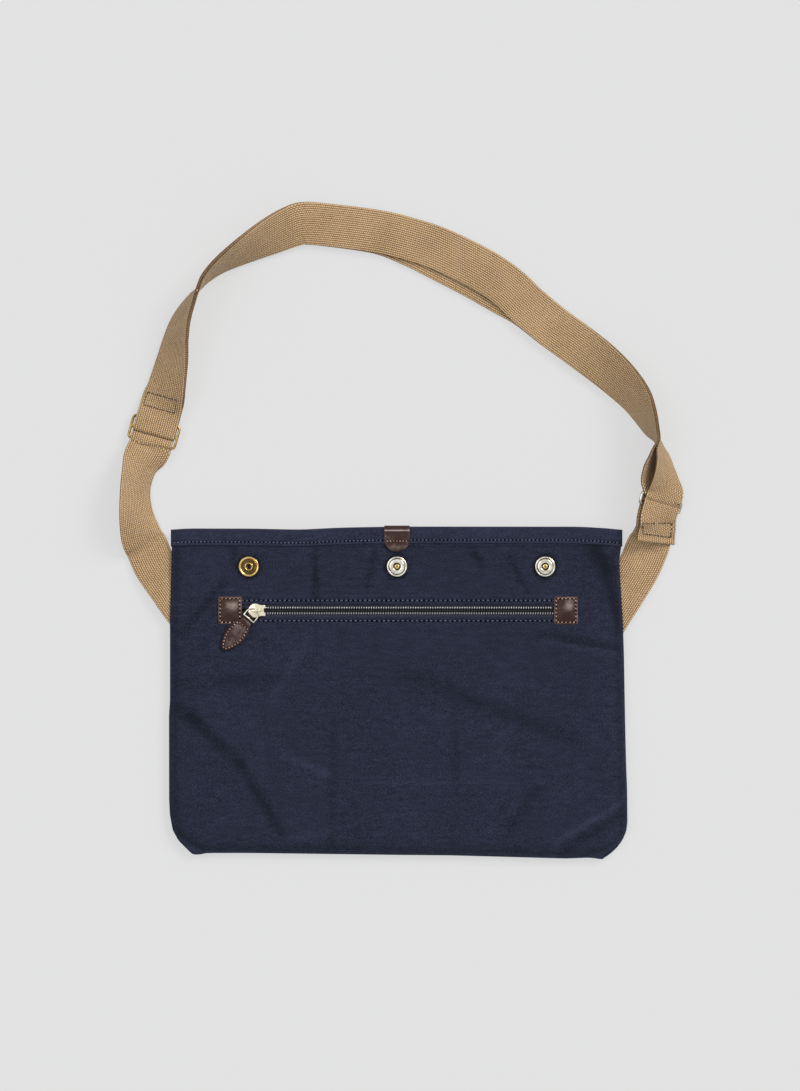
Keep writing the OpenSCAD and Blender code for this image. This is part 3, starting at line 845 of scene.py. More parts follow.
rows_of = []
for side in (-1, 1):
    spots, runs = row((-152, ZIP_Y + ZIP_ROW * side, 0), (154, ZIP_Y + ZIP_ROW * side, 0), ZIP_STITCH)
    spots[:, 2] = front_face(spots[:, 0], spots[:, 1]) + 0.16
    rows_of.append((spots, runs))
spots, runs = (np.concatenate([r[i] for r in rows_of]) for i in (0, 1))
upward = each(UP, len(spots))
zip_rows = stitches("zip_stitches", spots, runs, upward, 2.6, 0.8, thread_navy)
zip_holes = holes("zip_holes", spots + [2.1, -0.1, 0.16], runs, upward, 2.1)
fit([hem_stitches, hem_holes, back_stitches, zip_rows, zip_holes], "bag", "canvas")

# %% [markdown]
# ## Zip
# Each side of the zip is a woven tape with a coil sewn to its edge. The coil is a flattened helix, and
# the two sides mesh half a turn apart. The crown of each turn carries a painted white highlight, and its
# legs are dark.

# %% Zip
PITCH = 2.18
CHAIN = (-127.0, 139.0)


def coil_side(name, side, node):
    """A coil: a tube along a flattened helix. x is the pitch times the turns, and y and z are a cosine
    and a sine of them. The thread is fatter on the row that shows as beads, and its crown there carries a
    painted white highlight."""
    turns = int((CHAIN[1] - CHAIN[0]) / PITCH) - 1
    t = np.linspace(0, 2 * math.pi * turns, turns * 12 + 1)
    first = CHAIN[0] + PITCH * (0.5 if side > 0 else 1.0)
    centre = np.stack([first + PITCH * t / (2 * math.pi), ZIP_Y + side * (1.5 - 2.0 * np.cos(t)),
                       10.6 + 0.72 * np.sin(t) * side], 1)
    run = np.gradient(centre, axis=0)
    run /= np.linalg.norm(run, axis=1, keepdims=True)
    aside = np.cross(run, [1.0, 0, 0])
    aside /= np.linalg.norm(aside, axis=1, keepdims=True)
    other = np.cross(run, aside)
    fat = (0.25 + 0.19 * bell(np.abs(centre[:, 1] - ZIP_Y) - 2.5, 0.8))[:, None]
    points = ring_points(centre, fat * aside, fat * other, 6)
    off = np.abs(points[..., 1] - ZIP_Y)
    # A painted highlight: white and metallic on the crown of the bead row, and faint in the middle.
    crown = step(points[..., 2], 10.75, 11.05)
    bright = (bell(off - 2.6, 0.45) + 0.08 * bell(off, 0.5)) * crown
    faces = tube_faces(len(centre), 6)
    piece = make(name, points.reshape(-1, 3) * MM, faces, [coil], levels={"bright": bright.ravel()})
    fit(piece, "bag", "zip_coil", node)


coil_side("coil_upper", 1, "zip_coil_upper")
coil_side("coil_lower", -1, "zip_coil_lower")


def tape_side(name, side, node):
    """One woven tape: a flat strip with a faint wave along it, strongest about 5 mm from the zip's middle.
    """
    x, off = np.meshgrid(np.linspace(-160, 162, 120), np.linspace(1.3, 13.4, 20), indexing="ij")
    z = 9.55 + 0.1 * np.sin(x / 21) * bell(off - 5, 3)
    faces = grid_faces(*x.shape)
    piece = make(name, np.stack([x, ZIP_Y + side * off, z], -1) * MM, faces[:, ::side], [tape])
    solid(piece, 0.5 * MM, side)
    fit(piece, "bag", "zip_tape", node)


tape_side("tape_upper", 1, "zip_tape_upper")
tape_side("tape_lower", -1, "zip_tape_lower")


def pocket_side(name, node):
    """The cotton pocket behind the zip."""
    lo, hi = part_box(node)
    x, y = np.meshgrid(np.linspace(lo.x, hi.x, 40), np.linspace(lo.y, hi.y, 30), indexing="ij")
    z = np.full_like(x, (lo.z + hi.z) / 2)
    if node == "pocket_lining_front":
        z = np.minimum(z, (front_z(x / MM, y / MM) - 2.2) * MM)
    piece = solid(make(name, np.stack([x, y, z], -1), grid_faces(*x.shape), [lining]), 0.4 * MM, 0)
    fit(piece, "bag", "lining", node)


pocket_side("pocket_back", "pocket_lining_back")
pocket_side("pocket_front", "pocket_lining_front")

# %% [markdown]
# ## Leather
# Four leather parts: two stitched squares that hide the zip's ends, a tongue that is looped round the
# ring's bar, and a tab that is folded over the mouth's hem. The cut edges are burnished and rounded.

# %% Leather


def rounded_rect(half_x, half_y, radius, count=12):
    """Points round a rectangle with round corners, four-part and evenly shared."""
    points = []
    for quarter in range(4):
        turn = np.linspace(0, math.pi / 2, count) + quarter * math.pi / 2
        cx = (half_x - radius) * (1 if quarter in (0, 3) else -1)
        cy = (half_y - radius) * (1 if quarter in (0, 1) else -1)
        points.append(np.stack([cx + radius * np.cos(turn), cy + radius * np.sin(turn)], 1))
    flat = np.concatenate(points)
    close = np.concatenate([flat, flat[:1]])
    run = np.concatenate([[0], np.cumsum(np.linalg.norm(np.diff(close, axis=0), axis=1))])
    at = np.linspace(0, run[-1], 96, endpoint=False)
    return np.stack([np.interp(at, run, close[:, i]) for i in (0, 1)], 1)


def patch(name, node):
    """A stitched square: rings from the middle out, domed over the zip's end, with round edges."""
    lo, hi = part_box(node)
    cx, cy = (lo.x + hi.x) / 2 / MM, (lo.y + hi.y) / 2 / MM
    border = rounded_rect(10.5, 12.25, 1.6)
    share = np.array([0.02, 0.2, 0.38, 0.55, 0.68, 0.76, 0.81, 0.845, 0.88, 0.93, 0.965, 0.99, 1.0, 1.0,
                      0.985])
    height = 1.2 + 1.7 * (1 - step(share, 0.1, 0.82)) - 0.3 * bell(share - 0.845, 0.035)
    height[-5:] = [1.12, 0.95, 0.55, 0.2, 0.0]
    x = cx + share[:, None] * border[None, :, 0]
    y = cy + share[:, None] * border[None, :, 1]
    z = np.repeat(height[:, None], len(border), 1) + TOP_Z
    z = z + 0.18 * np.sin(x / 3.1 + cx) * np.sin(y / 4.3) * (1 - share[:, None] ** 2)
    count = len(border)
    faces = grid_faces(len(share), count, True).tolist()
    faces.append(list(range(count))[::-1])
    # Painted sheen: a pale ring near the stitch line, which also reads as wear, and a painted highlight at
    # the dome's upper right, where the lamp would catch it.
    wear_and_painted_sheen = np.repeat((0.3 * bell(share - 0.93, 0.04))[:, None], count, 1)
    wear_and_painted_sheen = wear_and_painted_sheen + 0.6 * bell(np.hypot((x - cx - 3) / 1.2, y - cy - 3.6), 4.4)
    edge = np.repeat(step(share, 0.94, 0.985)[:, None], count, 1) * 0.8
    piece = make(name, np.stack([x, y, z], -1) * MM, faces, [leather],
                 levels={"wear_and_painted_sheen": wear_and_painted_sheen, "edge": edge})
    fit(piece, "bag", "leather", node)
    inner = np.array([8.7, 10.45])
    spots, runs = [], []
    for a, b in (((-1, -1), (1, -1)), ((1, -1), (1, 1)), ((1, 1), (-1, 1)), ((-1, 1), (-1, -1))):
        start, end = ((*(np.array(corner) * inner + [cx, cy]), TOP_Z + 1.16) for corner in (a, b))
        spot, run = row(start, end, 3.3)
        spots.append(spot)
        runs.append(run)
    spots, runs = np.concatenate(spots), np.concatenate(runs)
    slant = runs + 0.35 * np.stack([-runs[:, 1], runs[:, 0], runs[:, 2]], 1)
    upward = each(UP, len(runs))
    sewn = stitches(name + "_stitches", spots, slant, upward, 1.9, 0.75, thread_tan)
    pricked = holes(name + "_holes", spots + 1.65 * runs + [0, 0, 0.15], runs, upward, 1.6)
    fit([sewn, pricked], "bag", "leather")


patch("zip_patch_left", "patch_left")
patch("zip_patch_right", "patch_right")


TAB_HALF, TAB_CREASE, TAB_ROW = 11.25, 144.0, 134.6


def fold_tab():
    """The tab: a strip with round ends, bent over the top of the hem. It follows the hem's face down."""
    arc = np.linspace(0, math.pi, 14)
    down = np.linspace(125.2, 146.6, 44)
    y = np.concatenate([down, 146.9 + 1.5 * np.sin(arc), down[::-1]])
    crease = (0.3 * bell(down - TAB_CREASE, 0.9) - 0.4 * bell(down - TAB_CREASE + 1.7, 0.7)
              - 0.2 * bell(down - TAB_ROW, 0.8))
    z = np.concatenate([12.7 + crease - 0.3 * (1 - step(down, 125, 128)), 10.45 + 2.25 * np.cos(arc),
                        np.full(len(down), 8.2)])
    drop = np.clip(136.4 - y, 0, TAB_HALF - 0.01)
    half = TAB_HALF * np.sqrt(1 - (drop / TAB_HALF) ** 2)
    share = np.sin(np.linspace(-math.pi / 2, math.pi / 2, 25))
    x = half[:, None] * share[None]
    near = np.repeat(np.abs(share)[None], len(y), 0)
    is_front = np.arange(len(y))[:, None] < len(down)
    z = z[:, None] + np.where(is_front, -0.3, 0.3) * near ** 6
    # Painted highlight: a pale band along the crease and a fainter one lower down, with some wear at the
    # edges.
    painted_gleam = 0.8 * bell(y - TAB_CREASE, 0.8) + 0.2 * bell(y - 129.5, 2.4)
    wear_and_painted_sheen = painted_gleam[:, None] + 0.12 * bell(near - 0.9, 0.1)
    points = np.stack([x, np.repeat(y[:, None], len(share), 1), z], -1)
    piece = make("hem_tab", points * MM, grid_faces(*x.shape), [leather],
                 levels={"wear_and_painted_sheen": wear_and_painted_sheen, "edge": 0.6 * step(near, 0.97, 1.0)})
    solid(piece, 1.0 * MM)
    fit(piece, "bag", "leather", "top_tab")
    spot, run = row((-9.8, TAB_ROW, 12.75), (9.8, TAB_ROW, 12.75), 2.8)
    upward = each(UP, len(run))
    sewn = stitches("tab_stitches", spot, run + [0, -0.5, 0], upward, 2.0, 0.75, thread_tan)
    pricked = holes("tab_holes", spot + [1.4, 0, 0.12], run, upward, 1.5)
    fit([sewn, pricked], "bag", "leather")


fold_tab()

TURN = math.radians(-40)
HOOK = np.array([-125.3, 73.3, 14.35])
SINK = math.asin(0.3 / 9.5)
TO_BAR = np.array([math.sin(TURN) * math.cos(SINK), -math.cos(TURN) * math.cos(SINK), -math.sin(SINK)])
BAR = HOOK + 9.5 * TO_BAR
BAR_RUN = np.array([math.cos(TURN), math.sin(TURN), 0.0])
PULL_SIDE = np.array([(-5, 3.6), (-1.5, 3.9), (1.2, 4.5), (3.5, 4.9), (6, 6.1), (9, 7.4), (13, 8.3),
                      (18, 8.6), (23, 8.1), (27, 7.0), (30.5, 5.5), (33, 4.0), (35, 2.3), (36, 0.6)])


def pull_frame():
    """The pull's own directions: along it, across it and out of its face."""
    fall = SINK + math.radians(1.4)
    run = np.array([math.sin(TURN) * math.cos(fall), -math.cos(TURN) * math.cos(fall), -math.sin(fall)])
    return run, BAR_RUN, np.cross(BAR_RUN, -run)


def leather_tongue():
    """Two layers sewn back to back. At the ring they thin to one, which passes under the bar and
    turns up."""
    run, across, up = pull_frame()
    s = np.concatenate([np.linspace(-2.8, 1.6, 20), np.linspace(1.9, 34, 68), np.linspace(34.3, 36, 10)])
    half = curve(PULL_SIDE, s, 0.7) * np.sqrt(np.clip((36.05 - s) / 1.2, 0.02, 1))
    half = half * (0.6 + 0.4 * step(s, -2.8, -1.8))
    tall = 0.5 + 0.62 * step(s, 1.0, 2.6)
    tall = tall * (0.4 + 0.6 * step(s, -2.8, -2.2)) * np.sqrt(np.clip((36.3 - s) / 1.6, 0.15, 1))
    middle = -1.3 * (1 - step(s, 0.9, 3.2)) + 1.45 * step(-s, 0.8, 2.3)
    middle = middle + 0.5 * np.sin(np.clip(s, 0, 36) / 36 * math.pi)
    turn = np.linspace(0, 2 * math.pi, 36, endpoint=False)
    flat_x = np.sign(np.cos(turn)) * np.abs(np.cos(turn)) ** 0.45
    flat_z = np.sign(np.sin(turn)) * np.abs(np.sin(turn)) ** 0.6
    w = half[:, None] * flat_x[None]
    h = tall[:, None] * flat_z[None]
    in_edge = half[:, None] - np.abs(w)
    face = np.abs(flat_z)[None] > 0.75
    h = h - np.sign(h) * 0.25 * bell(in_edge - 1.9, 0.6) * step(s, 7, 8.5)[:, None] * face
    h = h + np.sign(h) * 0.3 * step(in_edge, 2.4, 4.5) * step(s, 7, 9)[:, None]
    points = BAR + s[:, None, None] * run + w[..., None] * across + (h + middle[:, None])[..., None] * up
    # Painted sheen: the raised field inside the stitches and the fold near the ring are painted paler, as
    # highlight and wear.
    wear_and_painted_sheen = 0.15 * step(in_edge, 2.0, 3.4) * step(s, 8, 10)[:, None] + 0.3 * bell(s - 3.4, 0.9)[:, None]
    edge = 0.5 * np.repeat(np.abs(flat_z)[None] < 0.5, len(s), 0)
    piece = make("zip_pull", points.reshape(-1, 3) * MM, tube_faces(len(s), 36), [leather],
                 levels={"wear_and_painted_sheen": wear_and_painted_sheen, "edge": edge})
    fit(piece, "leather_pull", "leather", "leather_pull")
    at = np.linspace(7.8, 34.0, 400)
    side = np.maximum(np.interp(at, PULL_SIDE[:, 0], PULL_SIDE[:, 1]) - 1.9, 0)
    line = np.concatenate([np.stack([at, -side], 1), np.stack([at, side], 1)[::-1]])
    close = np.concatenate([line, line[:1]])
    gone = np.concatenate([[0], np.cumsum(np.linalg.norm(np.diff(close, axis=0), axis=1))])
    count = round(gone[-1] / 2.9)

    def sewn_at(shift):
        mids = ((np.arange(count) + shift) * gone[-1] / count) % gone[-1]
        spot = np.stack([np.interp(mids, gone, close[:, i]) for i in (0, 1)], 1)
        ahead = np.stack([np.interp(mids + 0.4, gone, close[:, i]) for i in (0, 1)], 1) - spot
        lift = 1.02 + 0.5 * np.sin(spot[:, 0] / 36 * math.pi)
        places = BAR + spot[:, :1] * run + spot[:, 1:] * across + lift[:, None] * up
        return places, ahead[:, :1] * run + ahead[:, 1:] * across, np.tile(up, (count, 1))

    sewn = stitches("pull_stitches", *sewn_at(0.5), 1.8, 0.75, thread_tan)
    pricked = holes("pull_holes", *sewn_at(0.0), 1.4)
    fit([sewn, pricked], "leather_pull", "leather")


leather_tongue()

# %% [markdown]
# ## Metal parts
# The snaps are turned: each is a profile spun round its own axis. The slider, its arch and the ring come
# from the solid model, with their edges rounded as casting and plating leave them.

# %% Metal parts


AROUND = 72


def lathe(name, x, profile, finish, node, slot, bore_shade=0.0):
    """A profile of (radius, height) spun round a snap's axis. Corners are cut twice to round them.
    A point lies deep by the lower of the highest points outside it and inside it, less its own height,
    and the last argument adds to that. How deep it lies paints shade into the colour."""
    line = np.array(profile, float)
    for _ in range(2):
        after = np.roll(line, -1, axis=0)
        line = np.stack([0.75 * line + 0.25 * after, 0.25 * line + 0.75 * after], 1).reshape(-1, 2)
    turn = np.linspace(0, 2 * math.pi, AROUND, endpoint=False)
    px = x + line[:, :1] * np.cos(turn)[None]
    py = SNAP_Y + line[:, :1] * np.sin(turn)[None]
    pz = TOP_Z + np.repeat(line[:, 1:], AROUND, 1)
    faces = grid_faces(len(line) + 1, AROUND, True) % (len(line) * AROUND)
    radius, tall = line[:, 0], line[:, 1]
    outside = np.where(radius[None] >= radius[:, None], tall[None], -9).max(1)
    inside = np.where(radius[None] <= radius[:, None], tall[None], -9).max(1)
    inside = np.where(radius < radius.min() + 0.45, 99, inside)
    deep = np.repeat((np.minimum(outside, inside) - tall + bore_shade)[:, None], AROUND, 1)
    piece = make(name, np.stack([px, py, pz], -1) * MM, faces, [finish], levels={"deep": deep})
    fit(piece, "bag", slot, node)


STUD = [(2.05, 0), (8.4, 0), (9.0, 0.5), (9.0, 0.9), (8.6, 1.45), (8.0, 1.45), (7.2, 1.1), (6.2, 0.3),
        (4.6, 0.2), (4.1, 0.3), (3.72, 0.7), (3.72, 2.9), (3.45, 3.35), (3, 3.42), (2.6, 3.1), (2.3, 2.2),
        (2.05, 0.9)]
SOCKET = [(3.15, 0), (8.5, 0), (9.1, 0.5), (9.1, 1.1), (8.7, 1.6), (8.0, 1.7), (7.4, 1.4), (7.35, 0.7),
          (7.1, 0.7), (6.9, 2.2), (6.5, 2.7), (5.2, 2.9), (4.1, 2.8), (3.5, 2.6), (3.15, 2.2)]
FLANGE = [(1.2, -2.2), (7.5, -2.2), (7.8, -1.8), (7.5, -1.25), (1.95, -1.25)]
POST = [*FLANGE, (1.95, 0), (2.9, 0.1), (2.9, 0.4), (2.4, 1.2), (1.4, 1.6), (0.4, 1.65), (0.4, -2.2)]
TALL_POST = [*FLANGE, (1.95, 1.2), (2.3, 1.3), (2.0, 1.5), (1.2, 1.5)]
SIDES = ("left", "middle", "right")

MALE, FEMALE = ("stud", STUD, brass, "snap_brass"), ("socket", SOCKET, nickel, "snap_nickel")
for where, x, (kind, profile, finish, slot) in zip(SIDES, SNAP_X, (MALE, FEMALE, FEMALE)):
    lathe(f"{kind}_{where}", x, profile, finish, f"snap_{kind}_{where}", slot)
# The post in the left stud's bore is painted dark, as the shade of that hole.
for where, x, profile, bore_shade in zip(SIDES, SNAP_X, (TALL_POST, POST, POST), (1.0, 0.0, 0.0)):
    lathe(f"post_{where}", x, profile, brass, f"snap_post_{where}", "snap_brass", bore_shade)


def keep_shape(name, node, finish, body, slot, bevel):
    """The solid model's own part, with its points joined and its sharp edges rounded."""
    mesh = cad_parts[node].data.copy()
    mesh.name = name
    piece = bpy.data.objects.new(name, mesh)
    bpy.context.scene.collection.objects.link(piece)
    shape = bmesh.new()
    shape.from_mesh(mesh)
    bmesh.ops.remove_doubles(shape, verts=shape.verts, dist=0.000002)
    shape.to_mesh(mesh)
    shape.free()
    mesh.materials.clear()
    mesh.materials.append(finish.material)
    mesh.polygons.foreach_set("use_smooth", np.full(len(mesh.polygons), True))
    if bevel:
        cut = piece.modifiers.new("edges", "BEVEL")
        cut.width = bevel * MM
        cut.segments = 2
        cut.limit_method = "ANGLE"
        cut.angle_limit = math.radians(35)
        cut.harden_normals = True
    fit(piece, body, slot, node)


keep_shape("slider_shape", "slider_body", pale_gold, "slider", "zip_metal", 0.18)
keep_shape("slider_arch", "slider_bail", pale_gold, "slider", "zip_metal", 0.22)
keep_shape("pull_ring_wire", "pull_ring", nickel, "pull_ring", "zip_metal", 0)
keep_shape("top_stops", "zip_top_stops", coil, "bag", "zip_metal", 0.2)
keep_shape("bottom_stop", "zip_bottom_stop", pale_gold, "bag", "zip_metal", 0.2)
keep_shape("ring_wire", "strap_ring", ring_nickel, "strap_ring", "ring_steel", 0)
keep_shape("glide_wire", "tri_glide", glide_brass, "strap", "glide_brass", 0)

# %% [markdown]
# ## Strap
# One long webbing is sewn round the tri-glide's middle bar, runs over the shoulder, round the ring and
# back underneath to the left seam. A short one comes from the right seam, loops the ring and is box
# stitched. Each is one ribbon: sections along a smooth curve, every one with its own turn and tilt.

# %% Strap
HALF_WEB = 19.0
HALF_T = 0.9
LAYER_GAP = 2.4


def unit(v):
    """The same direction with a length of 1."""
    v = np.asarray(v, float)
    return v / np.linalg.norm(v)


def across_of(run, tilt):
    """The way across a webbing that runs along run and is tilted by that many degrees."""
    level = unit([-run[1], run[0], 0])
    return math.cos(math.radians(tilt)) * level + math.sin(math.radians(tilt)) * np.array([0, 0, 1.0])


def through_of(run, tilt):
    """The way out of the webbing's face."""
    return unit(np.cross(run, across_of(run, tilt)))


def rest_z(tilt, layers=1):
    """Height of a tilted webbing's middle when its lower edge rests on the table."""
    thick = HALF_T if layers == 1 else (2 * HALF_T + LAYER_GAP) / 2
    return HALF_WEB * abs(math.sin(math.radians(tilt))) + thick * abs(math.cos(math.radians(tilt)))


def route(stations, steps=7):
    """Sections along a Catmull-Rom curve through stations of (x, y, z, tilt)."""
    s = [np.asarray(p, float) for p in stations]
    made = []
    for i in range(len(s) - 1):
        a, b, c, d = s[max(i - 1, 0)], s[i], s[i + 1], s[min(i + 2, len(s) - 1)]
        last = i == len(s) - 2
        bend, twist = 2 * a - 5 * b + 4 * c - d, 3 * b - a - 3 * c + d
        for t in np.linspace(0, 0.999 if last else 1, steps + 1)[: steps + 1 if last else steps]:
            p = 0.5 * (2 * b + (c - a) * t + bend * t ** 2 + twist * t ** 3)
            v = 0.5 * ((c - a) + 2 * bend * t + 3 * twist * t ** 2)
            run = unit(v[:3])
            made.append((p[:3], across_of(run, p[3]), through_of(run, p[3])))
    return made


def turned_back(sections):
    """The same sections, walked the other way with the other face up."""
    return [(c, a, -n) for c, a, n in reversed(sections)]


RING_TURN, RING_TILT = math.radians(-15), math.radians(-30)
RING_AT = np.array([233.8, 168.9, 13.4])
RING_U = np.array([math.cos(RING_TILT) * math.cos(RING_TURN), math.cos(RING_TILT) * math.sin(RING_TURN),
                   math.sin(RING_TILT)])
RING_V = np.array([-math.sin(RING_TURN), math.cos(RING_TURN), 0])
RING_N = np.cross(RING_U, RING_V)
GLIDE_TURN = math.radians(164.5)
GLIDE_AT = np.array([-216, 231.6, 5.3])
GLIDE_U = np.array([math.cos(GLIDE_TURN), math.sin(GLIDE_TURN), 0])
GLIDE_V = np.array([math.sin(GLIDE_TURN), -math.cos(GLIDE_TURN), 0])
GLIDE_N = np.array([0, 0, 1.0])


def on_ring(v, n, tilt):
    """A station at v along the ring's plane and n out of it."""
    return [*(RING_AT + v * RING_V + n * RING_N), tilt]


def on_glide(v, n):
    """A station at v along the slide buckle and n out of its face."""
    return [*(GLIDE_AT + v * GLIDE_V + n * GLIDE_N), 0]


def flat(x, y, tilt, lift=0.0):
    """A station of a single webbing whose lower edge rests on the table, or lies lift above it."""
    return [x, y, rest_z(tilt) + lift, tilt]


# The pair over the shoulder: x, y, tilt in degrees, and how far the upper layer slips sideways.
ARC = [(-204, 273, -28, 0), (-199, 296, -43, 0), (-196, 313, -54, 0), (-191, 331, -64, 0),
       (-182, 349, -77, 0), (-176, 358, -86, 0), (-169, 368, -94, 0), (-155, 380, -104, 0),
       (-132, 394, -122, 0),
       (-108, 407, -143, 0), (-93, 414, -155, 0), (-82, 417, -168, 0), (-62, 416, -180, 0),
       (-16, 410, -180, 1), (16, 402, -180, 5), (39, 394, -180, 8), (74, 377, -180, 9), (98, 361, -180, 7),
       (116, 344, -180, 1), (139, 325, -180, 0), (162, 308, -172, 0), (182, 292, -158, 0),
       (198, 277, -145, 0), (211, 262, -131, 0), (219, 248, -119, 0), (226, 233, -108, 0),
       (231, 224, -97, 0)]
LAST = len(ARC) - 1


def layer(side):
    """One webbing of the pair over the shoulder: 1 is the sewn one and -1 the sliding one. Near the ring
    the two draw apart."""
    made = []
    for i, (x, y, tilt, slip) in enumerate(ARC):
        a, b = ARC[max(i - 1, 0)], ARC[min(i + 1, LAST)]
        run = unit([b[0] - a[0], b[1] - a[1], 0])
        gap = LAYER_GAP + 0.9 * float(step(i, LAST - 5, LAST))
        tilt = tilt + (11 if side > 0 else 7) * float(step(i, LAST - 3, LAST))
        centre = (np.array([x, y, rest_z(tilt, 2)]) + side * gap / 2 * through_of(run, tilt)
                  + (slip if side > 0 else 0) * across_of(run, tilt))
        made.append([*centre, tilt])
    return made


GLIDE_FOLD, RING_FOLD, SHORT_FOLD = 2.2, 3.3, 2.7
HALF_TURN = np.radians(np.linspace(22.5, 157.5, 13))
tilt_up = math.degrees(RING_TILT)

sewn_end = [(GLIDE_AT + v * GLIDE_V - GLIDE_FOLD * GLIDE_N, GLIDE_U, -GLIDE_N) for v in (27, 20, 14, 7, 1)]
glide_loop = []
for a in np.radians(np.linspace(0, 180, 17)):
    r = -math.cos(a) * GLIDE_N - math.sin(a) * GLIDE_V
    glide_loop.append((GLIDE_AT + GLIDE_FOLD * r, GLIDE_U, r))
upper_layer = route([on_glide(2, 2.2), on_glide(12, 2.2), (*on_glide(21, 1.6)[:3], -6),
                     (*on_glide(31, 3.4)[:3], -17), *layer(1), flat(233.5, 216, -75, 0.3),
                     flat(236, 207, -67, 0.8), flat(237.2, 198, -59, 1.5), flat(237.9, 189, -48, 3),
                     on_ring(10, RING_FOLD, tilt_up), on_ring(2.6, RING_FOLD, tilt_up)])
ring_loop = []
for a in HALF_TURN:
    r = math.cos(a) * RING_N - math.sin(a) * RING_V
    ring_loop.append((RING_AT + 2.6 * RING_V + RING_FOLD * r, RING_U, r))
left_tail = [(-177, 59, 4.7, 0), (-195, 83, 4.7, 0), (-201, 92, 4.7, 0), (-215, 112, 2.6, 0)]
left_strand = [(-222.5, 128.5, 1.7, 0), flat(-226, 136, 14), flat(-228.5, 145, 28), flat(-231, 158, 42),
               flat(-232, 172, 49), flat(-231.5, 184, 50), flat(-229, 197, 44), flat(-226, 206, 28)]
lower_layer = route([*left_tail, *left_strand, on_glide(-15, 0.8), on_glide(-10.5, 2.35),
                     on_glide(-6.6, 2.3), on_glide(-4.3, 0.2), on_glide(-3.3, -2.8),
                     on_glide(-1, -4.3), on_glide(6, -4.4),
                     on_glide(28, -4.4), *layer(-1), flat(228.2, 216, -81), flat(227.2, 207, -71),
                     flat(226.3, 198, -60), flat(228.3, 189, -45), on_ring(10, -RING_FOLD, tilt_up),
                     on_ring(2.6, -RING_FOLD, tilt_up)])
long_sections = sewn_end + glide_loop + upper_layer + ring_loop + turned_back(lower_layer)

right_tail = [(179, 53, 4.7, 0), (192, 74, 4.7, 0), (201, 88, 4.7, 0), (215, 111, 2.6, 0)]
right_strand = [(222.6, 128.5, 1.7, 0), flat(225.8, 136, 17), flat(228.4, 145, 25)]
folded_strand = [(229.7, 134.2, 9.8, 24), (230.3, 140, 11.0, 26), (231.3, 146.5, 13.2, 29)]
short_up = route([*right_tail, *right_strand, on_ring(-14, -SHORT_FOLD, -tilt_up),
                  on_ring(-3, -SHORT_FOLD, -tilt_up)])
short_loop = []
for a in HALF_TURN:
    r = math.cos(a) * RING_N - math.sin(a) * RING_V
    short_loop.append((RING_AT - 3 * RING_V - SHORT_FOLD * r, -RING_U, r))
short_back = route([*folded_strand, on_ring(-14, SHORT_FOLD, -tilt_up), on_ring(-3, SHORT_FOLD, -tilt_up)])
short_sections = short_up + short_loop + turned_back(short_back)
end_centre, end_across, end_through = short_sections[-1]
end_run = unit(end_centre - short_sections[-2][0])
short_sections += [(end_centre + d * end_run, end_across, end_through) for d in (0.5, 0.9, 1.2, 1.4)]


def along_of(sections):
    """Distance along the webbing at each section."""
    centres = np.array([s[0] for s in sections])
    return np.concatenate([[0], np.cumsum(np.linalg.norm(np.diff(centres, axis=0), axis=1))])


def web_section():
    """Points round a webbing's section: flat faces with a slight crown, and round woven edges."""
    face = np.sin(np.linspace(-math.pi / 2, math.pi / 2, 13)) * (HALF_WEB - 0.75)
    top = np.stack([face, 0.82 + 0.08 * bell(np.abs(face) - 17.6, 1.0)], 1)
    turn = np.linspace(math.pi / 2, -math.pi / 2, 7)[1:-1]
    edge = np.stack([HALF_WEB - 0.75 + 0.75 * np.cos(turn), 0.82 * np.sin(turn)], 1)
    return np.concatenate([top, edge, top[::-1] * [1, -1], edge[::-1] * [-1, 1]])


def ribbon(name, sections, nodes, end_roll=0.0):
    """A webbing: the section above, carried through every section of its route. end_roll fattens its
    end."""
    ring = web_section()
    centre, across, through = (np.array([s[i] for s in sections]) for i in range(3))
    gone = along_of(sections)
    to_end = gone[-1] - gone
    fat = (1 + end_roll * (1 - step(to_end, 2.2, 4.2))) * np.sqrt(np.clip((to_end + 0.1) / 1.4, 0.05, 1))
    points = (centre[:, None] + ring[None, :, :1] * across[:, None]
              + fat[:, None, None] * ring[None, :, 1:] * through[:, None])
    layout = np.stack(np.broadcast_arrays(ring[None, :, 0], gone[:, None]), -1)
    piece = make(name, points.reshape(-1, 3) * MM, tube_faces(len(gone), len(ring)), [webbing],
                 layout * MM)
    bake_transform(piece)
    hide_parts(*nodes)
    print(name, "length in mm", round(float(gone[-1])))


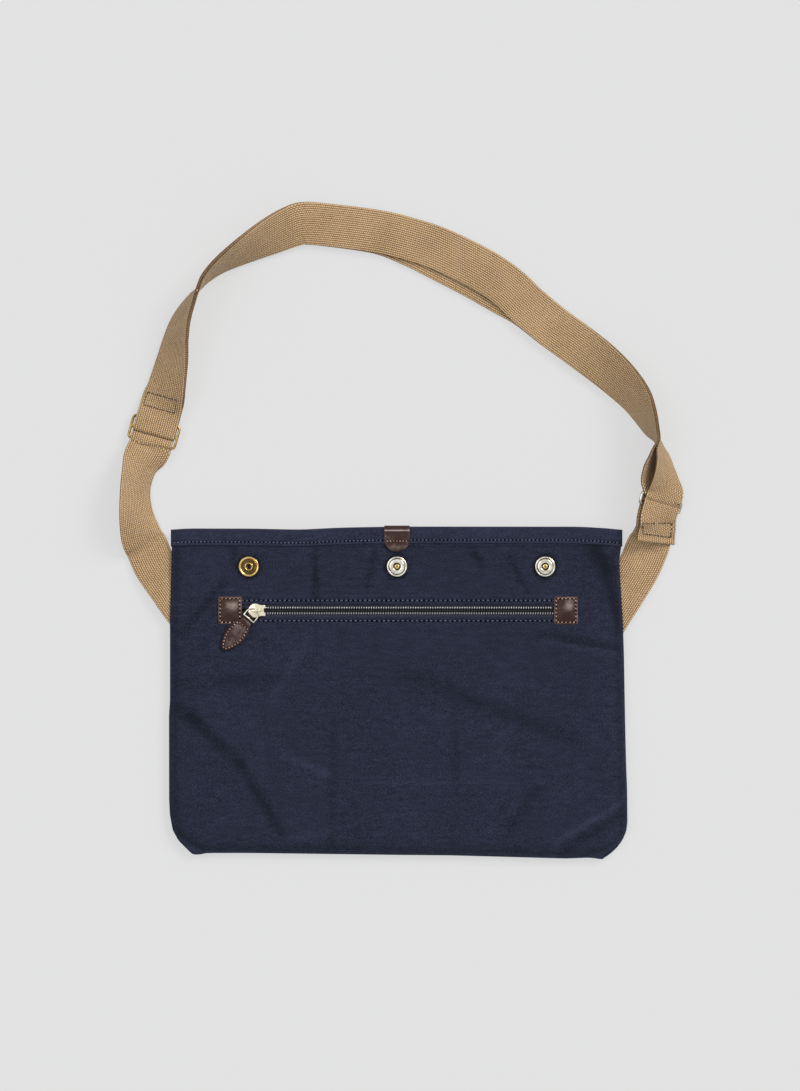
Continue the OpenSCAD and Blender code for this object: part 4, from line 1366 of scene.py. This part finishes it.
ribbon("long_webbing", long_sections, ["strap_long", "strap_tail_left"])
ribbon("short_webbing", short_sections, ["strap_short", "strap_tail_right"], 0.75)


def box_stitch(name, sections, start, end, left, right, face, lean=0.0):
    """A sewn rectangle on a webbing: from start to end along it, and from left to right across it.
    lean moves the right side out at the start, where the webbing turns."""
    gone = along_of(sections)
    centre, across, through = (np.array([s[i] for s in sections]) for i in range(3))
    spots, ways_ = [], []
    corners = [(start, left, 0), (start, right, 0), (end, right, 0), (end, left, 0)]
    for a, b in zip(corners, corners[1:] + corners[:1]):
        spot, run = row(a, b, 3.0)
        spots.append(spot)
        ways_.append(run)
    spots, ways_ = np.concatenate(spots), np.concatenate(ways_)
    spots[:, 1] += lean * (end - spots[:, 0]) / (end - start) * (spots[:, 1] > 0)

    def read(table, at):
        return np.stack([np.interp(at, gone, table[:, i]) for i in range(3)], 1)

    c, a_, n = (read(t, spots[:, 0]) for t in (centre, across, through))
    ahead = read(centre, spots[:, 0] + 0.5) - c
    ahead /= np.linalg.norm(ahead, axis=1, keepdims=True)
    places = c + spots[:, 1:2] * a_ + face * (HALF_T + 0.05) * n
    runs = ways_[:, :1] * ahead + ways_[:, 1:2] * a_
    piece = stitches(name, places, runs, face * n, 2.6, 1.1, thread_olive)
    fit(piece, "strap", "webbing")


long_gone = along_of(long_sections)
start_at = long_gone[len(sewn_end) + len(glide_loop)]
box_stitch("long_box_stitch", long_sections, start_at + 19, start_at + 31, -13.5, 15.5, 1)
short_gone = along_of(short_sections)
box_stitch("short_box_stitch", short_sections, short_gone[-1] - 18.5, short_gone[-1] - 7, -14.0, 14.5,
           -1, 3.0)

# %% [markdown]
# ## Table and finish
# A pale grey table lies just under the bag.

# %% Finish
TABLE_Z = -0.0014
bpy.ops.mesh.primitive_plane_add(size=8, location=(0, 0, TABLE_Z))
table = bpy.context.object
table.name = "table"
paper = Finish("table_paper", Roughness=1.0, Specular_IOR_Level=0.0, Emission_Strength=0.574)
paper.set("Base Color", (0.16, 0.16, 0.16, 1))
paper.set("Emission Color", (1, 1, 1, 1))
table.data.materials.append(paper.material)
